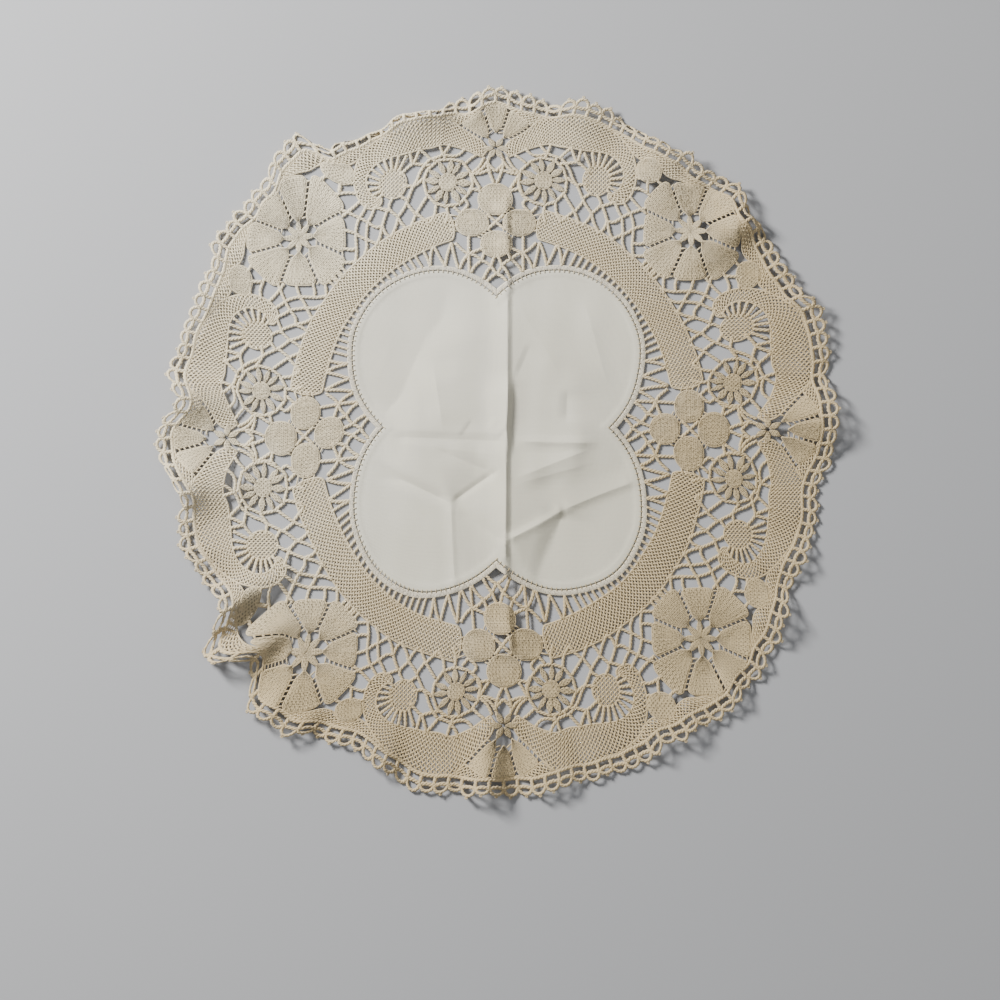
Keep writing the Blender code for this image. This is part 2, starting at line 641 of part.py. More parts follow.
def laid(points):
    """Points of the flat pattern as (x, y, z) of the laid cloth's middle, in millimetres."""
    x, y = np.array(points, float).T
    radius = np.hypot(x, y)
    bearing = np.degrees(np.arctan2(x, y)) % 360
    height = np.zeros(len(x))
    out = radius + reach(bearing) * smooth((radius - REACH_FROM) / (RIM - REACH_FROM))
    for row in RUFFLES:
        lift = swell(bearing, row) * smooth((radius - row["start"]) / (RIM - row["start"]))
        height += row["height"] * lift
    for row in TURNS:
        weight = swell(bearing, row)
        turn = np.radians(row["turn"]) * weight
        past = radius - (RIM + 2.5 - row["reach"])
        roll = np.clip(past / row["radius"], 0, np.abs(turn))
        straight = np.maximum(past - row["radius"] * roll, 0)
        rolled = row["radius"] * np.sin(roll) + straight * np.cos(roll)
        risen = row["radius"] * (1 - np.cos(roll)) + straight * np.sin(roll)
        bent = (past > 0) & (weight > 0)
        out += np.where(bent, rolled - past, 0)
        height += np.where(bent, np.sign(row["turn"]) * risen, 0)
    for crease in CREASES:
        a = np.array([crease["x1"], crease["y1"]])
        b = np.array([crease["x2"], crease["y2"]])
        length = np.hypot(*(b - a))
        along = (b - a) / length
        s = ((x - a[0]) * along[0] + (y - a[1]) * along[1]) / length
        off = (y - a[1]) * along[0] - (x - a[0]) * along[1]
        slope = np.where(off > 0, 1 - off / crease["left"], 1 + off / crease["right"])
        ends = smooth(s / 0.12) * smooth((1 - s) / 0.12)
        height += crease["height"] * np.clip(slope, 0, 1) ** 1.3 * ends
    scale = out / np.maximum(radius, 1e-6)
    x, y = x * scale, y * scale
    sine = np.sin(np.radians(bearing))
    squeezed = SQUEEZE * np.sign(sine) * sine**2 * np.clip(radius / FULL_SQUEEZE, 0, 1)
    share = smooth((radius - SLIP_FROM) / (FULL_SLIP - SLIP_FROM))
    x = x - squeezed + slip(bearing, "east") * share + MIDDLE_SLIP[0] * (1 - share)
    y = y + slip(bearing, "north") * share + MIDDLE_SLIP[1] * (1 - share)
    height = np.maximum(height, 0) + THICKNESS / 2
    return np.column_stack([x + CENTRING[0], y + CENTRING[1], height])


def sheet_mesh(name, loops, extra, material):
    """A closed sheet of even thickness over the laid pattern within the loops."""
    points, triangles, held_by = triangulated(loops, extra)
    keep = [set(held) == {0} for held in held_by]
    triangles = triangles[np.array(keep)]
    used = np.unique(triangles)
    index = np.full(len(points), -1)
    index[used] = np.arange(len(used))
    points, triangles = points[used], index[triangles]
    middle = laid(points)
    step = 0.05
    across = laid(points + (step, 0)) - laid(points - (step, 0))
    along = laid(points + (0, step)) - laid(points - (0, step))
    normal = np.cross(across, along)
    normal /= np.linalg.norm(normal, axis=1)[:, None]
    top = middle + normal * THICKNESS / 2
    bottom = middle - normal * THICKNESS / 2
    top[:, 2] = np.maximum(top[:, 2], 0.6)
    bottom[:, 2] = np.maximum(bottom[:, 2], 0.0)
    count = len(points)
    faces = [tuple(t) for t in triangles] + [tuple(t[::-1] + count) for t in triangles]
    for loop in boundary_loops(triangles):
        for a, b in zip(loop, loop[1:] + loop[:1]):
            faces.append((a, a + count, b + count))
            faces.append((a, b + count, b))
    mesh = bpy.data.meshes.new(name)
    mesh.from_pydata((np.vstack([top, bottom]) * MM).tolist(), [], faces)
    mesh.materials.append(material)
    mesh.shade_smooth()
    mesh.set_sharp_from_angle(angle=math.radians(50))
    obj = bpy.data.objects.new(name, mesh)
    bpy.context.scene.collection.objects.link(obj)
    return obj


def cloth_material(name, colour, roughness):
    material = bpy.data.materials.new(name)
    material.use_nodes = True
    shader = material.node_tree.nodes["Principled BSDF"]
    shader.inputs["Base Color"].default_value = (*colour, 1)
    shader.inputs["Roughness"].default_value = roughness
    shader.inputs["Metallic"].default_value = 0
    return material


def linen_centre():
    """The linen, with its narrow hem as part of the cloth."""
    notch = math.degrees(math.asin(LOBE_OFFSET / LOBE_RADIUS))
    outline = []
    for quarter in range(4):
        lobe = arc((LOBE_OFFSET, LOBE_OFFSET), LOBE_RADIUS, -notch, 90 + notch, 16)
        outline += turned(lobe[:-1], quarter, 1)
    extra = inner_points([outline], LINEN_POINTS, 1.6)
    return sheet_mesh("linen_centre", [outline], extra, cloth_material("linen", (0.62, 0.60, 0.55), 0.85))


def lace_border():
    """The bobbin lace, one piece from its footing to its edging."""
    loops = lace_outlines()
    extra = inner_points(loops, INNER_POINTS, 1.0)
    return sheet_mesh("lace_border", loops, extra, cloth_material("lace", (0.60, 0.53, 0.40), 0.9))


for old in list(bpy.data.objects):
    bpy.data.objects.remove(old)
linen_centre()
lace_border()
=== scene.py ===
import math

import bpy
import numpy as np
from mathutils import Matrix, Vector
from mathutils.geometry import delaunay_2d_cdt


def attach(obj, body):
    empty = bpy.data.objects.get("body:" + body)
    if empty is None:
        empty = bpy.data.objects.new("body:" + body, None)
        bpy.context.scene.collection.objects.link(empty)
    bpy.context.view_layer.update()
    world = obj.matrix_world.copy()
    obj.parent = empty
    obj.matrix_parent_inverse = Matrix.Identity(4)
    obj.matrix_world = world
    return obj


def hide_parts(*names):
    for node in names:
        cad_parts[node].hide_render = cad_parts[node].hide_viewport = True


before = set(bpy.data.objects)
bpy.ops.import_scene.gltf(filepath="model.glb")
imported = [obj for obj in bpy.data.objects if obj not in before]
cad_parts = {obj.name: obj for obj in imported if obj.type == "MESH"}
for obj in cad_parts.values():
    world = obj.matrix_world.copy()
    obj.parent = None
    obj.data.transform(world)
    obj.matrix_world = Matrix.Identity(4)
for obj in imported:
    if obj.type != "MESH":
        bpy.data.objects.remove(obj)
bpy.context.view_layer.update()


# ==== The table top, the lamps and the camera =============================================
# A plain pale table top takes the doily's soft shadows. A broad soft lamp stands at the upper
# left and a weaker one at the right, and the camera looks straight down.

FIELD = 0.435  # metres of table across the picture
HEIGHT = 2.4

floor_mesh = bpy.data.meshes.new("table_top")
floor_mesh.from_pydata([(-6, -6, 0), (6, -6, 0), (6, 6, 0), (-6, 6, 0)], [], [(0, 1, 2, 3)])
floor = bpy.data.objects.new("table_top", floor_mesh)
bpy.context.scene.collection.objects.link(floor)
floor_finish = bpy.data.materials.new("pale_table")
floor_finish.use_nodes = True
shader = floor_finish.node_tree.nodes["Principled BSDF"]
shader.inputs["Base Color"].default_value = (0.37, 0.37, 0.375, 1)
shader.inputs["Roughness"].default_value = 0.9
floor_mesh.materials.append(floor_finish)

for name, place, size, power in (
    ("key_lamp", (-0.82, 0.64, 0.60), 0.32, 40.0),
    ("fill_lamp", (1.4, -0.6, 1.8), 1.6, 6.0),
):
    lamp = bpy.data.lights.new(name, "AREA")
    lamp.shape, lamp.size, lamp.energy = "DISK", size, power
    stand = bpy.data.objects.new(name, lamp)
    stand.location = place
    stand.rotation_euler = (-Vector(place)).to_track_quat("-Z", "Y").to_euler()
    bpy.context.scene.collection.objects.link(stand)
sky = bpy.data.worlds.new("room_light")
sky.use_nodes = True
sky.node_tree.nodes["Background"].inputs["Color"].default_value = (0.93, 0.96, 1.0, 1)
sky.node_tree.nodes["Background"].inputs["Strength"].default_value = 0.3
bpy.context.scene.world = sky

lens = bpy.data.cameras.new("camera")
lens.sensor_width = 36.0
lens.lens = 18.0 / (FIELD / 2 / HEIGHT)
lens.clip_end = 20.0
camera = bpy.data.objects.new("camera", lens)
camera.location = (0.0013, -0.025, HEIGHT)
bpy.context.scene.collection.objects.link(camera)
bpy.context.scene.camera = camera


# ==== The linen centre ====================================================================
# Four round lobes cut from one piece of fine bleached linen, with a narrow rolled hem. It was
# folded in four for years: the upright fold stands up, the others are soft troughs and ridges.


def table(columns, *rows):
    """Rows of values, each a dict with the columns' names."""
    return [dict(zip(columns.split(), row)) for row in rows]


LOBE_OFFSET = 29.1
LOBE_RADIUS = 40.3
HEM = 2.6
RIM = 152.0
THICKNESS = 1.2
# SQUEEZE draws the east and west sides in, and SLIPS is how far each side lies
# from its drawn place.
SQUEEZE = 8.2
SLIPS = table(
    "bearing east north",
    (0.0, -1.5, 1.0),
    (45.0, -1.5, 0.9),
    (90.0, -1.1, 3.3),
    (135.0, 2.0, 2.2),
    (180.0, 2.0, 1.0),
    (225.0, 2.8, -3.0),
    (270.0, -0.3, -0.3),
    (315.0, -2.4, -1.7),
)
MIDDLE_SLIP = (-1.1, 4.1)  # how far the linen lies from its drawn place
CENTRING = (0.9, 2.2)  # moves the laid doily so that its box is centred
FULL_SQUEEZE = 48.0  # radius from which the squeeze is whole
SLIP_FROM, FULL_SLIP = 60.0, 104.0  # radii between which the slips grow
# How far the rim lies out from its drawn place, by bearing, fitted to the photograph's rim.
# The corner at 326 follows the paper that lies under the edge there, not the lace.
REACHES = table(
    "bearing reach",
    (0.0, -4.0),
    (6.0, -7.0),
    (14.0, -3.0),
    (22.0, -1.7),
    (30.0, -2.1),
    (40.0, -4.4),
    (50.0, -2.1),
    (60.0, -0.4),
    (72.0, 5.2),
    (84.0, 1.0),
    (90.0, 2.4),
    (99.0, -3.3),
    (107.0, -0.4),
    (114.0, -2.5),
    (120.0, 1.5),
    (130.0, 0.1),
    (140.0, 1.7),
    (148.0, 4.5),
    (160.0, 3.9),
    (172.0, 1.9),
    (184.0, 2.3),
    (193.0, 5.6),
    (206.0, -0.7),
    (222.0, 5.6),
    (225.0, 5.7),
    (230.0, -4.3),
    (235.5, 11.6),
    (241.0, -2.6),
    (252.0, 0.5),
    (261.0, -1.9),
    (270.0, 2.8),
    (276.0, -4.5),
    (281.0, -0.2),
    (294.0, -0.3),
    (304.0, 1.2),
    (315.0, -3.8),
    (326.0, 7.0),
    (330.0, -2.2),
    (336.0, -4.4),
    (345.0, -2.8),
    (353.0, -6.3),
)
REACH_FROM = 112.0  # the lace starts to reach out, or draw in, at this radius
# Ruffles: the rim lifts by height at bearing, from the radius start.
RUFFLES = table(
    "bearing spread height start",
    (16.0, 9.0, 3.0, 112.0),
    (32.0, 11.0, 6.5, 120.0),
    (50.0, 7.0, 5.5, 98.0),
    (69.0, 11.0, 3.0, 118.0),
    (88.0, 7.0, 6.0, 112.0),
    (113.0, 6.0, 2.5, 122.0),
    (122.0, 6.0, 3.5, 120.0),
    (148.0, 8.0, 3.0, 122.0),
    (172.0, 6.0, 3.0, 112.0),
    (183.0, 5.0, 6.5, 104.0),
    (203.0, 6.0, 3.5, 120.0),
    (221.0, 8.0, 3.0, 122.0),
    (233.0, 5.0, 4.5, 116.0),
    (241.0, 5.0, 6.5, 98.0),
    (262.0, 8.0, 5.5, 110.0),
    (277.0, 6.0, 4.0, 112.0),
    (296.0, 12.0, 3.0, 122.0),
    (318.0, 8.0, 2.5, 122.0),
    (345.0, 10.0, 5.5, 122.0),
)
# Turned edges: the outermost reach of the rim rolls by turn degrees, down and under if negative.
TURNS = table(
    "bearing spread turn radius reach",
    (341.0, 18.0, -160.0, 2.0, 8.5),
    (28.0, 8.0, -160.0, 2.6, 8.0),
    (52.0, 5.0, -110.0, 2.2, 5.0),
    (241.0, 4.0, -110.0, 2.2, 5.0),
    (262.0, 6.0, -100.0, 2.2, 5.0),
)
# Frills: waves all round the rim, each in and out by out and up by rise. They fade where the
# swing of each row's own slow beat is low.
FRILLS = table(
    "waves out rise phase beat",
    (23, 0.9, 0.8, 0.6, 3),
    (41, 0.9, 0.8, 2.1, 5),
    (67, 0.6, 0.5, 4.0, 4),
)
FRILL_FROM = 136.0
# Creases of the folded linen: ridges, or troughs if the height is negative. Each runs from
# (x1, y1) to (x2, y2), slopes away to its left and right over those widths, and fades at its ends.
# The first six make the upright pleat: a broad swell, and a steep east side on top of it.
CREASES = table(
    "x1 y1 x2 y2 height left right ends",
    (4.7, 108.0, 4.95, 14.0, 0.65, 15.8, 11.2, 0.128),
    (5.0, 26.0, 5.3, -14.0, 0.9, 12.2, 14.0, 0.3),
    (4.4, -2.0, 3.5, -100.0, 1.7, 24.0, 15.0, 0.122),
    (4.7, 108.0, 4.95, 14.0, 1.0, 2.1, 8.0, 0.128),
    (5.0, 26.0, 5.3, -14.0, 2.2, 3.3, 11.0, 0.3),
    (4.4, -2.0, 3.5, -100.0, 1.2, 2.3, 9.0, 0.122),
    (-55.3, -3.8, 5.3, -5.7, -0.65, 3.2, 13.0, 0.12),
    (6.3, -5.7, 54.3, -6.5, 0.72, 11.1, 4.4, 0.25),
    (14.0, -5.9, 54.3, -6.9, 0.33, 3.5, 2.6, 0.25),
    (-64.0, -16.5, -20.6, -33.1, -1.17, 4.4, 4.2, 0.2),
    (-22.6, -33.1, 2.0, -17.5, -1.17, 20.0, 13.9, 0.25),
    (-22.6, -33.1, 2.0, -17.5, -0.39, 2.2, 2.2, 0.2),
    (-22.5, -32.2, 4.5, -50.0, -0.52, 7.3, 3.2, 0.15),
    (-21.9, -32.0, -18.5, -71.0, 0.52, 21.8, 6.4, 0.12),
    (-21.9, -32.0, -18.5, -71.0, 0.26, 2.0, 3.0, 0.12),
    (3.9, -49.2, 33.5, -35.2, 0.78, 5.0, 26.0, 0.12),
    (3.9, -49.2, 33.5, -35.2, 0.39, 2.5, 2.5, 0.12),
    (31.0, -36.2, 69.5, -22.3, 0.72, 7.8, 2.6, 0.15),
    (32.5, -34.5, 23.2, -71.0, -1.82, 16.0, 10.9, 0.15),
    (6.4, -22.6, 52.9, -7.8, 0.98, 10.8, 7.4, 0.3),
    (6.8, -24.7, 52.6, -14.6, 0.52, 12.0, 6.0, 0.3),
    (-25.9, 63.0, -58.1, 2.5, -1.3, 25.0, 11.0, 0.25),
    (-25.9, 63.0, -58.1, 2.5, -0.26, 3.0, 3.0, 0.25),
    (39.2, 60.0, 57.7, 14.0, 0.59, 14.0, 9.0, 0.35),
    (-58.0, -6.0, 5.0, -12.0, 0.91, 30.0, 30.0, 0.2),
    (6.0, 58.0, 34.0, 20.0, 0.39, 14.1, 12.0, 0.3),
    (9.0, 21.0, 16.5, 37.5, -0.33, 2.5, 12.0, 0.3),
    (-19.5, -4.5, -12.0, 4.0, -0.26, 1.6, 8.0, 0.3),
    (-33.0, -8.5, 2.0, -20.5, -0.52, 4.4, 4.2, 0.25),
    (36.5, 18.0, 36.5, 1.0, -0.65, 18.0, 5.0, 0.35),
    (-32.0, 30.0, -28.0, -4.0, 0.91, 25.0, 9.0, 0.35),
)
CREASE_STEPS = (-2.1, -1.1, -0.3, 0.0, 0.3, 1.1, 2.1, 2.7, 3.3)  # the cloth's points beside a crease
MIDDLE_LIFT = 1.7  # the old folds hold the middle of the linen off the table
LIFT_REACH, LIFT_FADE = 66.0, 26.0  # radius at which that ends, and the width over which it fades
NARROW_SIDE = 4.0  # a crease's sides are straight if narrower than this, and curved if wider
RIM_OUTSIDE = 2.5  # the edging's loops reach this far past RIM
RIDGE_STEP, RIDGE_SPACING = 1.1, 0.27  # points along a crease, and the least distance between two
GRID_ROWS, GRID_COLUMNS, GRID_CLEARANCE = 1.35, 1.6, 0.9  # points of the cloth between creases
TOP_FACE, BOTTOM_FACE, HEM_RISE = -0.02, -0.42, 0.16  # heights about the cloth's middle


def polar(radius, degrees, centre=(0.0, 0.0)):
    """The point at this radius and angle, clockwise from +y."""
    angle = math.radians(degrees)
    return centre[0] + radius * math.sin(angle), centre[1] + radius * math.cos(angle)


def arc(centre, radius, start, end, steps):
    return [polar(radius, start + (end - start) * i / steps, centre) for i in range(steps + 1)]


def smooth(t):
    t = np.clip(t, 0, 1)
    return t * t * (3 - 2 * t)


def swell(bearing, row):
    """1 at a row's bearing, falling smoothly to 0 at its spread."""
    gap = np.clip(np.abs((bearing - row["bearing"] + 180) % 360 - 180) / row["spread"], 0, 1)
    return 0.5 + 0.5 * np.cos(np.pi * gap)


def reach(bearing):
    """How far the rim reaches out, blended smoothly between the bearings of REACHES."""
    at = np.array([row["bearing"] for row in REACHES] + [REACHES[0]["bearing"] + 360])
    values = np.array([row["reach"] for row in REACHES] + [REACHES[0]["reach"]])
    index = np.minimum(np.searchsorted(at, bearing, side="right"), len(REACHES)) - 1
    t = smooth((bearing - at[index]) / (at[index + 1] - at[index]))
    return values[index] * (1 - t) + values[index + 1] * t


def slip(bearing, column):
    """A column of SLIPS, blended smoothly between its bearings."""
    step = 360 / len(SLIPS)
    values = np.array([row[column] for row in SLIPS])
    at = (bearing % 360) / step
    index = np.floor(at).astype(int) % len(SLIPS)
    t = smooth(at - np.floor(at))
    return values[index] * (1 - t) + values[(index + 1) % len(SLIPS)] * t


def laid(points):
    """Points of the flat pattern as (x, y, z) of the laid cloth's middle, in millimetres."""
    x, y = np.array(points, float).T
    radius = np.hypot(x, y)
    bearing = np.degrees(np.arctan2(x, y)) % 360
    height = MIDDLE_LIFT * smooth((LIFT_REACH - radius) / LIFT_FADE)
    out = radius + reach(bearing) * smooth((radius - REACH_FROM) / (RIM - REACH_FROM))
    for row in RUFFLES:
        lift = swell(bearing, row) * smooth((radius - row["start"]) / (RIM - row["start"]))
        height += row["height"] * lift
    turn = np.radians(bearing)
    for row in FRILLS:
        beat = 0.6 + 0.4 * np.sin(row["beat"] * turn + row["phase"])
        wave = row["waves"] * turn + row["phase"] + np.sin(row["beat"] * turn)
        edge = beat * smooth((radius - FRILL_FROM) / (RIM - FRILL_FROM))
        out += row["out"] * edge * np.sin(wave)
        height += row["rise"] * edge * (1 + np.cos(wave))
    for row in TURNS:
        weight = swell(bearing, row)
        turn = np.radians(row["turn"]) * weight
        past = radius - (RIM + RIM_OUTSIDE - row["reach"])
        roll = np.clip(past / row["radius"], 0, np.abs(turn))
        straight = np.maximum(past - row["radius"] * roll, 0)
        rolled = row["radius"] * np.sin(roll) + straight * np.cos(roll)
        risen = row["radius"] * (1 - np.cos(roll)) + straight * np.sin(roll)
        bent = (past > 0) & (weight > 0)
        out += np.where(bent, rolled - past, 0)
        height += np.where(bent, np.sign(row["turn"]) * risen, 0)
    for crease in CREASES:
        a = np.array([crease["x1"], crease["y1"]])
        b = np.array([crease["x2"], crease["y2"]])
        length = np.hypot(*(b - a))
        along = (b - a) / length
        s = ((x - a[0]) * along[0] + (y - a[1]) * along[1]) / length
        off = (y - a[1]) * along[0] - (x - a[0]) * along[1]
        wide = np.where(off > 0, crease["left"], crease["right"])
        slope = np.clip(1 - np.abs(off) / wide, 0, 1) ** np.where(wide < NARROW_SIDE, 1.0, 1.5)
        ends = smooth(s / crease["ends"]) * smooth((1 - s) / crease["ends"])
        height += crease["height"] * slope * ends
    scale = out / np.maximum(radius, 1e-6)
    x, y = x * scale, y * scale
    sine = np.sin(np.radians(bearing))
    squeezed = SQUEEZE * np.sign(sine) * sine**2 * np.clip(radius / FULL_SQUEEZE, 0, 1)
    share = smooth((radius - SLIP_FROM) / (FULL_SLIP - SLIP_FROM))
    x = x - squeezed + slip(bearing, "east") * share + MIDDLE_SLIP[0] * (1 - share)
    y = y + slip(bearing, "north") * share + MIDDLE_SLIP[1] * (1 - share)
    height = np.maximum(height, 0) + THICKNESS / 2
    return np.column_stack([x + CENTRING[0], y + CENTRING[1], height])


def wander(x, y):
    """The small unevenness of hand work, in millimetres."""
    east = 0.16 * np.sin(x / 7.1 + 1.3 * np.sin(y / 9.7)) + 0.12 * np.sin(y / 4.3 + x / 13.0)
    north = 0.16 * np.sin(y / 6.7 + 1.1 * np.sin(x / 8.9) + 2.0) + 0.12 * np.sin(x / 4.9 - y / 11.0)
    return east, north, 0.10 * np.sin(x / 5.3 + y / 8.1) * np.sin(y / 6.1 - x / 7.7)


def lie(flat):
    """Flat points (x, y, height above the cloth's middle), in millimetres, as laid, in metres."""
    flat = np.asarray(flat, float).reshape(-1, 3)
    east, north, rise = wander(flat[:, 0], flat[:, 1])
    plane = flat[:, :2] + np.column_stack([east, north])
    middle = laid(plane)
    step = 0.3
    across = laid(plane + (step, 0)) - middle
    along = laid(plane + (0, step)) - middle
    normal = np.cross(across, along)
    normal /= np.linalg.norm(normal, axis=1)[:, None]
    placed = middle + normal * (flat[:, 2] + rise)[:, None]
    placed[:, 2] = np.maximum(placed[:, 2], 0.04)
    return placed / 1000


def new_piece(name, points, faces, uv, material, node):
    """A smooth mesh piece from laid points, faces as (n, corners) arrays, and each corner's uv."""
    mesh = bpy.data.meshes.new(name)
    corners = np.concatenate([f.ravel() for f in faces]).astype(np.int32)
    sizes = np.concatenate([np.full(len(f), f.shape[1]) for f in faces])
    mesh.vertices.add(len(points))
    mesh.vertices.foreach_set("co", np.asarray(points, np.float32).ravel())
    mesh.loops.add(len(corners))
    mesh.loops.foreach_set("vertex_index", corners)
    mesh.polygons.add(len(sizes))
    mesh.polygons.foreach_set("loop_start", (np.cumsum(sizes) - sizes).astype(np.int32))
    mesh.polygons.foreach_set("use_smooth", np.ones(len(sizes), bool))
    layer = mesh.uv_layers.new(name="thread")
    layer.data.foreach_set("uv", np.asarray(uv, np.float32).ravel())
    mesh.update(calc_edges=True)
    mesh.materials.append(material)
    obj = bpy.data.objects.new(name, mesh)
    bpy.context.scene.collection.objects.link(obj)
    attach(obj, "root")
    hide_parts(node)
    return obj


def lace_piece(name, made, finish):
    """A piece of the lace border from its flat points, faces and uv."""
    flat, faces, uv = made
    return new_piece(name, lie(flat), faces, uv, finish, "lace_border")


def turned(points, quarter, flip):
    """Flat points of the first quarter, mirrored if flip is -1, in another quarter."""
    points = np.array(points, float)
    turn = math.radians(-90 * quarter)
    c, s = math.cos(turn), math.sin(turn)
    points[..., 0] *= flip
    points[..., :2] = points[..., :2] @ np.array([[c, s], [-s, c]])
    return points


def lobed(radius, steps):
    """The closed outline of four lobes of this radius."""
    notch = math.degrees(math.asin(LOBE_OFFSET / radius))
    lobe = arc((LOBE_OFFSET, LOBE_OFFSET), radius, -notch, 90 + notch, steps)[:-1]
    return np.vstack([turned(lobe, quarter, 1) for quarter in range(4)])


def within_lobes(points, radius):
    off = np.hypot(np.abs(points[:, 0]) - LOBE_OFFSET, np.abs(points[:, 1]) - LOBE_OFFSET)
    square = np.abs(points).max(axis=1) < LOBE_OFFSET
    return (off < radius) | square & (off < 1.5 * radius)


outline = lobed(LOBE_RADIUS, 90)
rings = [lobed(LOBE_RADIUS - inset, 80) for inset in (0.5, HEM - 0.5, HEM, HEM + 0.5)]
rows = np.arange(-75, 75, GRID_ROWS)
row = np.arange(-75, 75, GRID_COLUMNS)
grid = np.array([(x + 0.8 * (i % 2), y) for i, y in enumerate(rows) for x in row])
grid = grid[within_lobes(grid, LOBE_RADIUS - HEM - 1.2)]
ridges = []
for crease in CREASES:
    a, b = np.array([crease["x1"], crease["y1"]]), np.array([crease["x2"], crease["y2"]])
    length = np.hypot(*(b - a))
    left = np.array([a[1] - b[1], b[0] - a[0]]) / length
    for shift in CREASE_STEPS:
        line = a + (b - a) * np.linspace(0, 1, int(length / RIDGE_STEP))[:, None]
        ridges.append(line + shift * left)
ridges = np.vstack(ridges)
ridges = ridges[within_lobes(ridges, LOBE_RADIUS - HEM - 1.2)]
kept = ridges[:1]
for point in ridges[1:]:
    if np.hypot(*(kept - point).T).min() > RIDGE_SPACING:
        kept = np.vstack([kept, point])
apart = np.array([np.hypot(*(kept - p).T).min() for p in grid])
flat = np.vstack([outline, *rings, kept, grid[apart > GRID_CLEARANCE]])
made = delaunay_2d_cdt([Vector(p) for p in flat], [], [list(range(len(outline)))[::-1]], 0, 1e-6)
flat = np.array([tuple(p) for p in made[0]])
triangles = np.array([t for t, held in zip(made[2], made[5]) if held])
edges = np.vstack([triangles[:, [0, 1]], triangles[:, [1, 2]], triangles[:, [2, 0]]])
known = {tuple(e) for e in edges.tolist()}
border = np.array([e for e in known if (e[1], e[0]) not in known])
off = np.hypot(np.abs(flat[:, 0]) - LOBE_OFFSET, np.abs(flat[:, 1]) - LOBE_OFFSET)
inset = np.where(within_lobes(flat, LOBE_OFFSET) & (off < LOBE_OFFSET), 20, LOBE_RADIUS - off)
raised = HEM_RISE * smooth((HEM + 0.4 - inset) / 0.7) * smooth((inset + 0.5) / 0.8)
top = lie(np.column_stack([flat, TOP_FACE + raised]))
bottom = lie(np.column_stack([flat, np.full(len(flat), BOTTOM_FACE)]))
count = len(flat)
walls = np.column_stack([border[:, 0], border[:, 0] + count, border[:, 1] + count, border[:, 1]])
faces = [triangles, triangles[:, ::-1] + count, walls]
corners = np.concatenate([f.ravel() for f in faces]) % count
linen_uv = flat[corners]


def noise(nodes, scale, detail, vector):
    made = nodes.new("ShaderNodeTexNoise")
    made.inputs["Scale"].default_value = scale
    made.inputs["Detail"].default_value = detail
    nodes.id_data.links.new(vector, made.inputs["Vector"])
    return made.outputs["Fac"]


def new_group(name, inputs, outputs):
    """A shader node group with named sockets, as (group, its input node, its output node)."""
    group = bpy.data.node_groups.new(name, "ShaderNodeTree")
    for label, kind, value in inputs:
        socket = group.interface.new_socket(label, in_out="INPUT", socket_type=kind)
        if value is not None:
            socket.default_value = value
    for label, kind in outputs:
        group.interface.new_socket(label, in_out="OUTPUT", socket_type=kind)
    return group, group.nodes.new("NodeGroupInput"), group.nodes.new("NodeGroupOutput")


def math_node(nodes, operation, a, b=None, c=None):
    made = nodes.new("ShaderNodeMath")
    made.operation = operation
    for socket, value in zip(made.inputs, (a, b, c)):
        if value is None:
            continue
        if hasattr(value, "is_linked"):
            nodes.id_data.links.new(value, socket)
        else:
            socket.default_value = value
    return made.outputs[0]


def mix_colour(nodes, blend, factor, a, b):
    made = nodes.new("ShaderNodeMix")
    made.data_type = "RGBA"
    made.blend_type = blend
    for socket, value in ((made.inputs[0], factor), (made.inputs[6], a), (made.inputs[7], b)):
        if hasattr(value, "is_linked"):
            nodes.id_data.links.new(value, socket)
        else:
            socket.default_value = value
    return made.outputs[2]


# Age tints every cloth here: broad soft stains, fine mottling, and a warmer hue out towards the doily's rim.
# The colour also goes from lighter at the upper left of the doily to darker and yellower at its lower right.
aged, ins, outs = new_group(
    "aged_cloth",
    [
        ("Clean", "NodeSocketColor", (0.7, 0.65, 0.55, 1)),
        ("Stained", "NodeSocketColor", (0.6, 0.5, 0.35, 1)),
        ("Mottling", "NodeSocketFloat", 0.5),
    ],
    [("Color", "NodeSocketColor"), ("Stain", "NodeSocketFloat")],
)
nodes, links = aged.nodes, aged.links
place = nodes.new("ShaderNodeTexCoord").outputs["Object"]
broad = noise(nodes, 14.0, 2.0, place)
fine = noise(nodes, 160.0, 3.0, place)
apart = nodes.new("ShaderNodeSeparateXYZ")
links.new(place, apart.inputs[0])
# the slant: lighter at the upper left of the doily, darker and yellower at its lower right
slant = math_node(nodes, "SUBTRACT", apart.outputs["X"], apart.outputs["Y"])
drift = math_node(nodes, "MULTIPLY_ADD", slant, 3.4, 0.5)
outward = nodes.new("ShaderNodeVectorMath")
outward.operation = "LENGTH"
links.new(place, outward.inputs[0])
rimward = math_node(nodes, "MULTIPLY_ADD", outward.outputs["Value"], 6.0, -0.6)
drift = math_node(nodes, "ADD", drift, math_node(nodes, "MAXIMUM", rimward, 0.0))
stain = math_node(nodes, "MULTIPLY_ADD", broad, 0.9, -0.25)
stain = math_node(nodes, "ADD", stain, drift)
mottle = math_node(nodes, "MULTIPLY", math_node(nodes, "SUBTRACT", fine, 0.5), ins.outputs["Mottling"])
stain = math_node(nodes, "ADD", stain, mottle)
stain = math_node(nodes, "MINIMUM", math_node(nodes, "MAXIMUM", stain, 0.0), 1.0)
tint = mix_colour(nodes, "MIX", stain, ins.outputs["Clean"], ins.outputs["Stained"])
links.new(tint, outs.inputs["Color"])
links.new(stain, outs.inputs["Stain"])
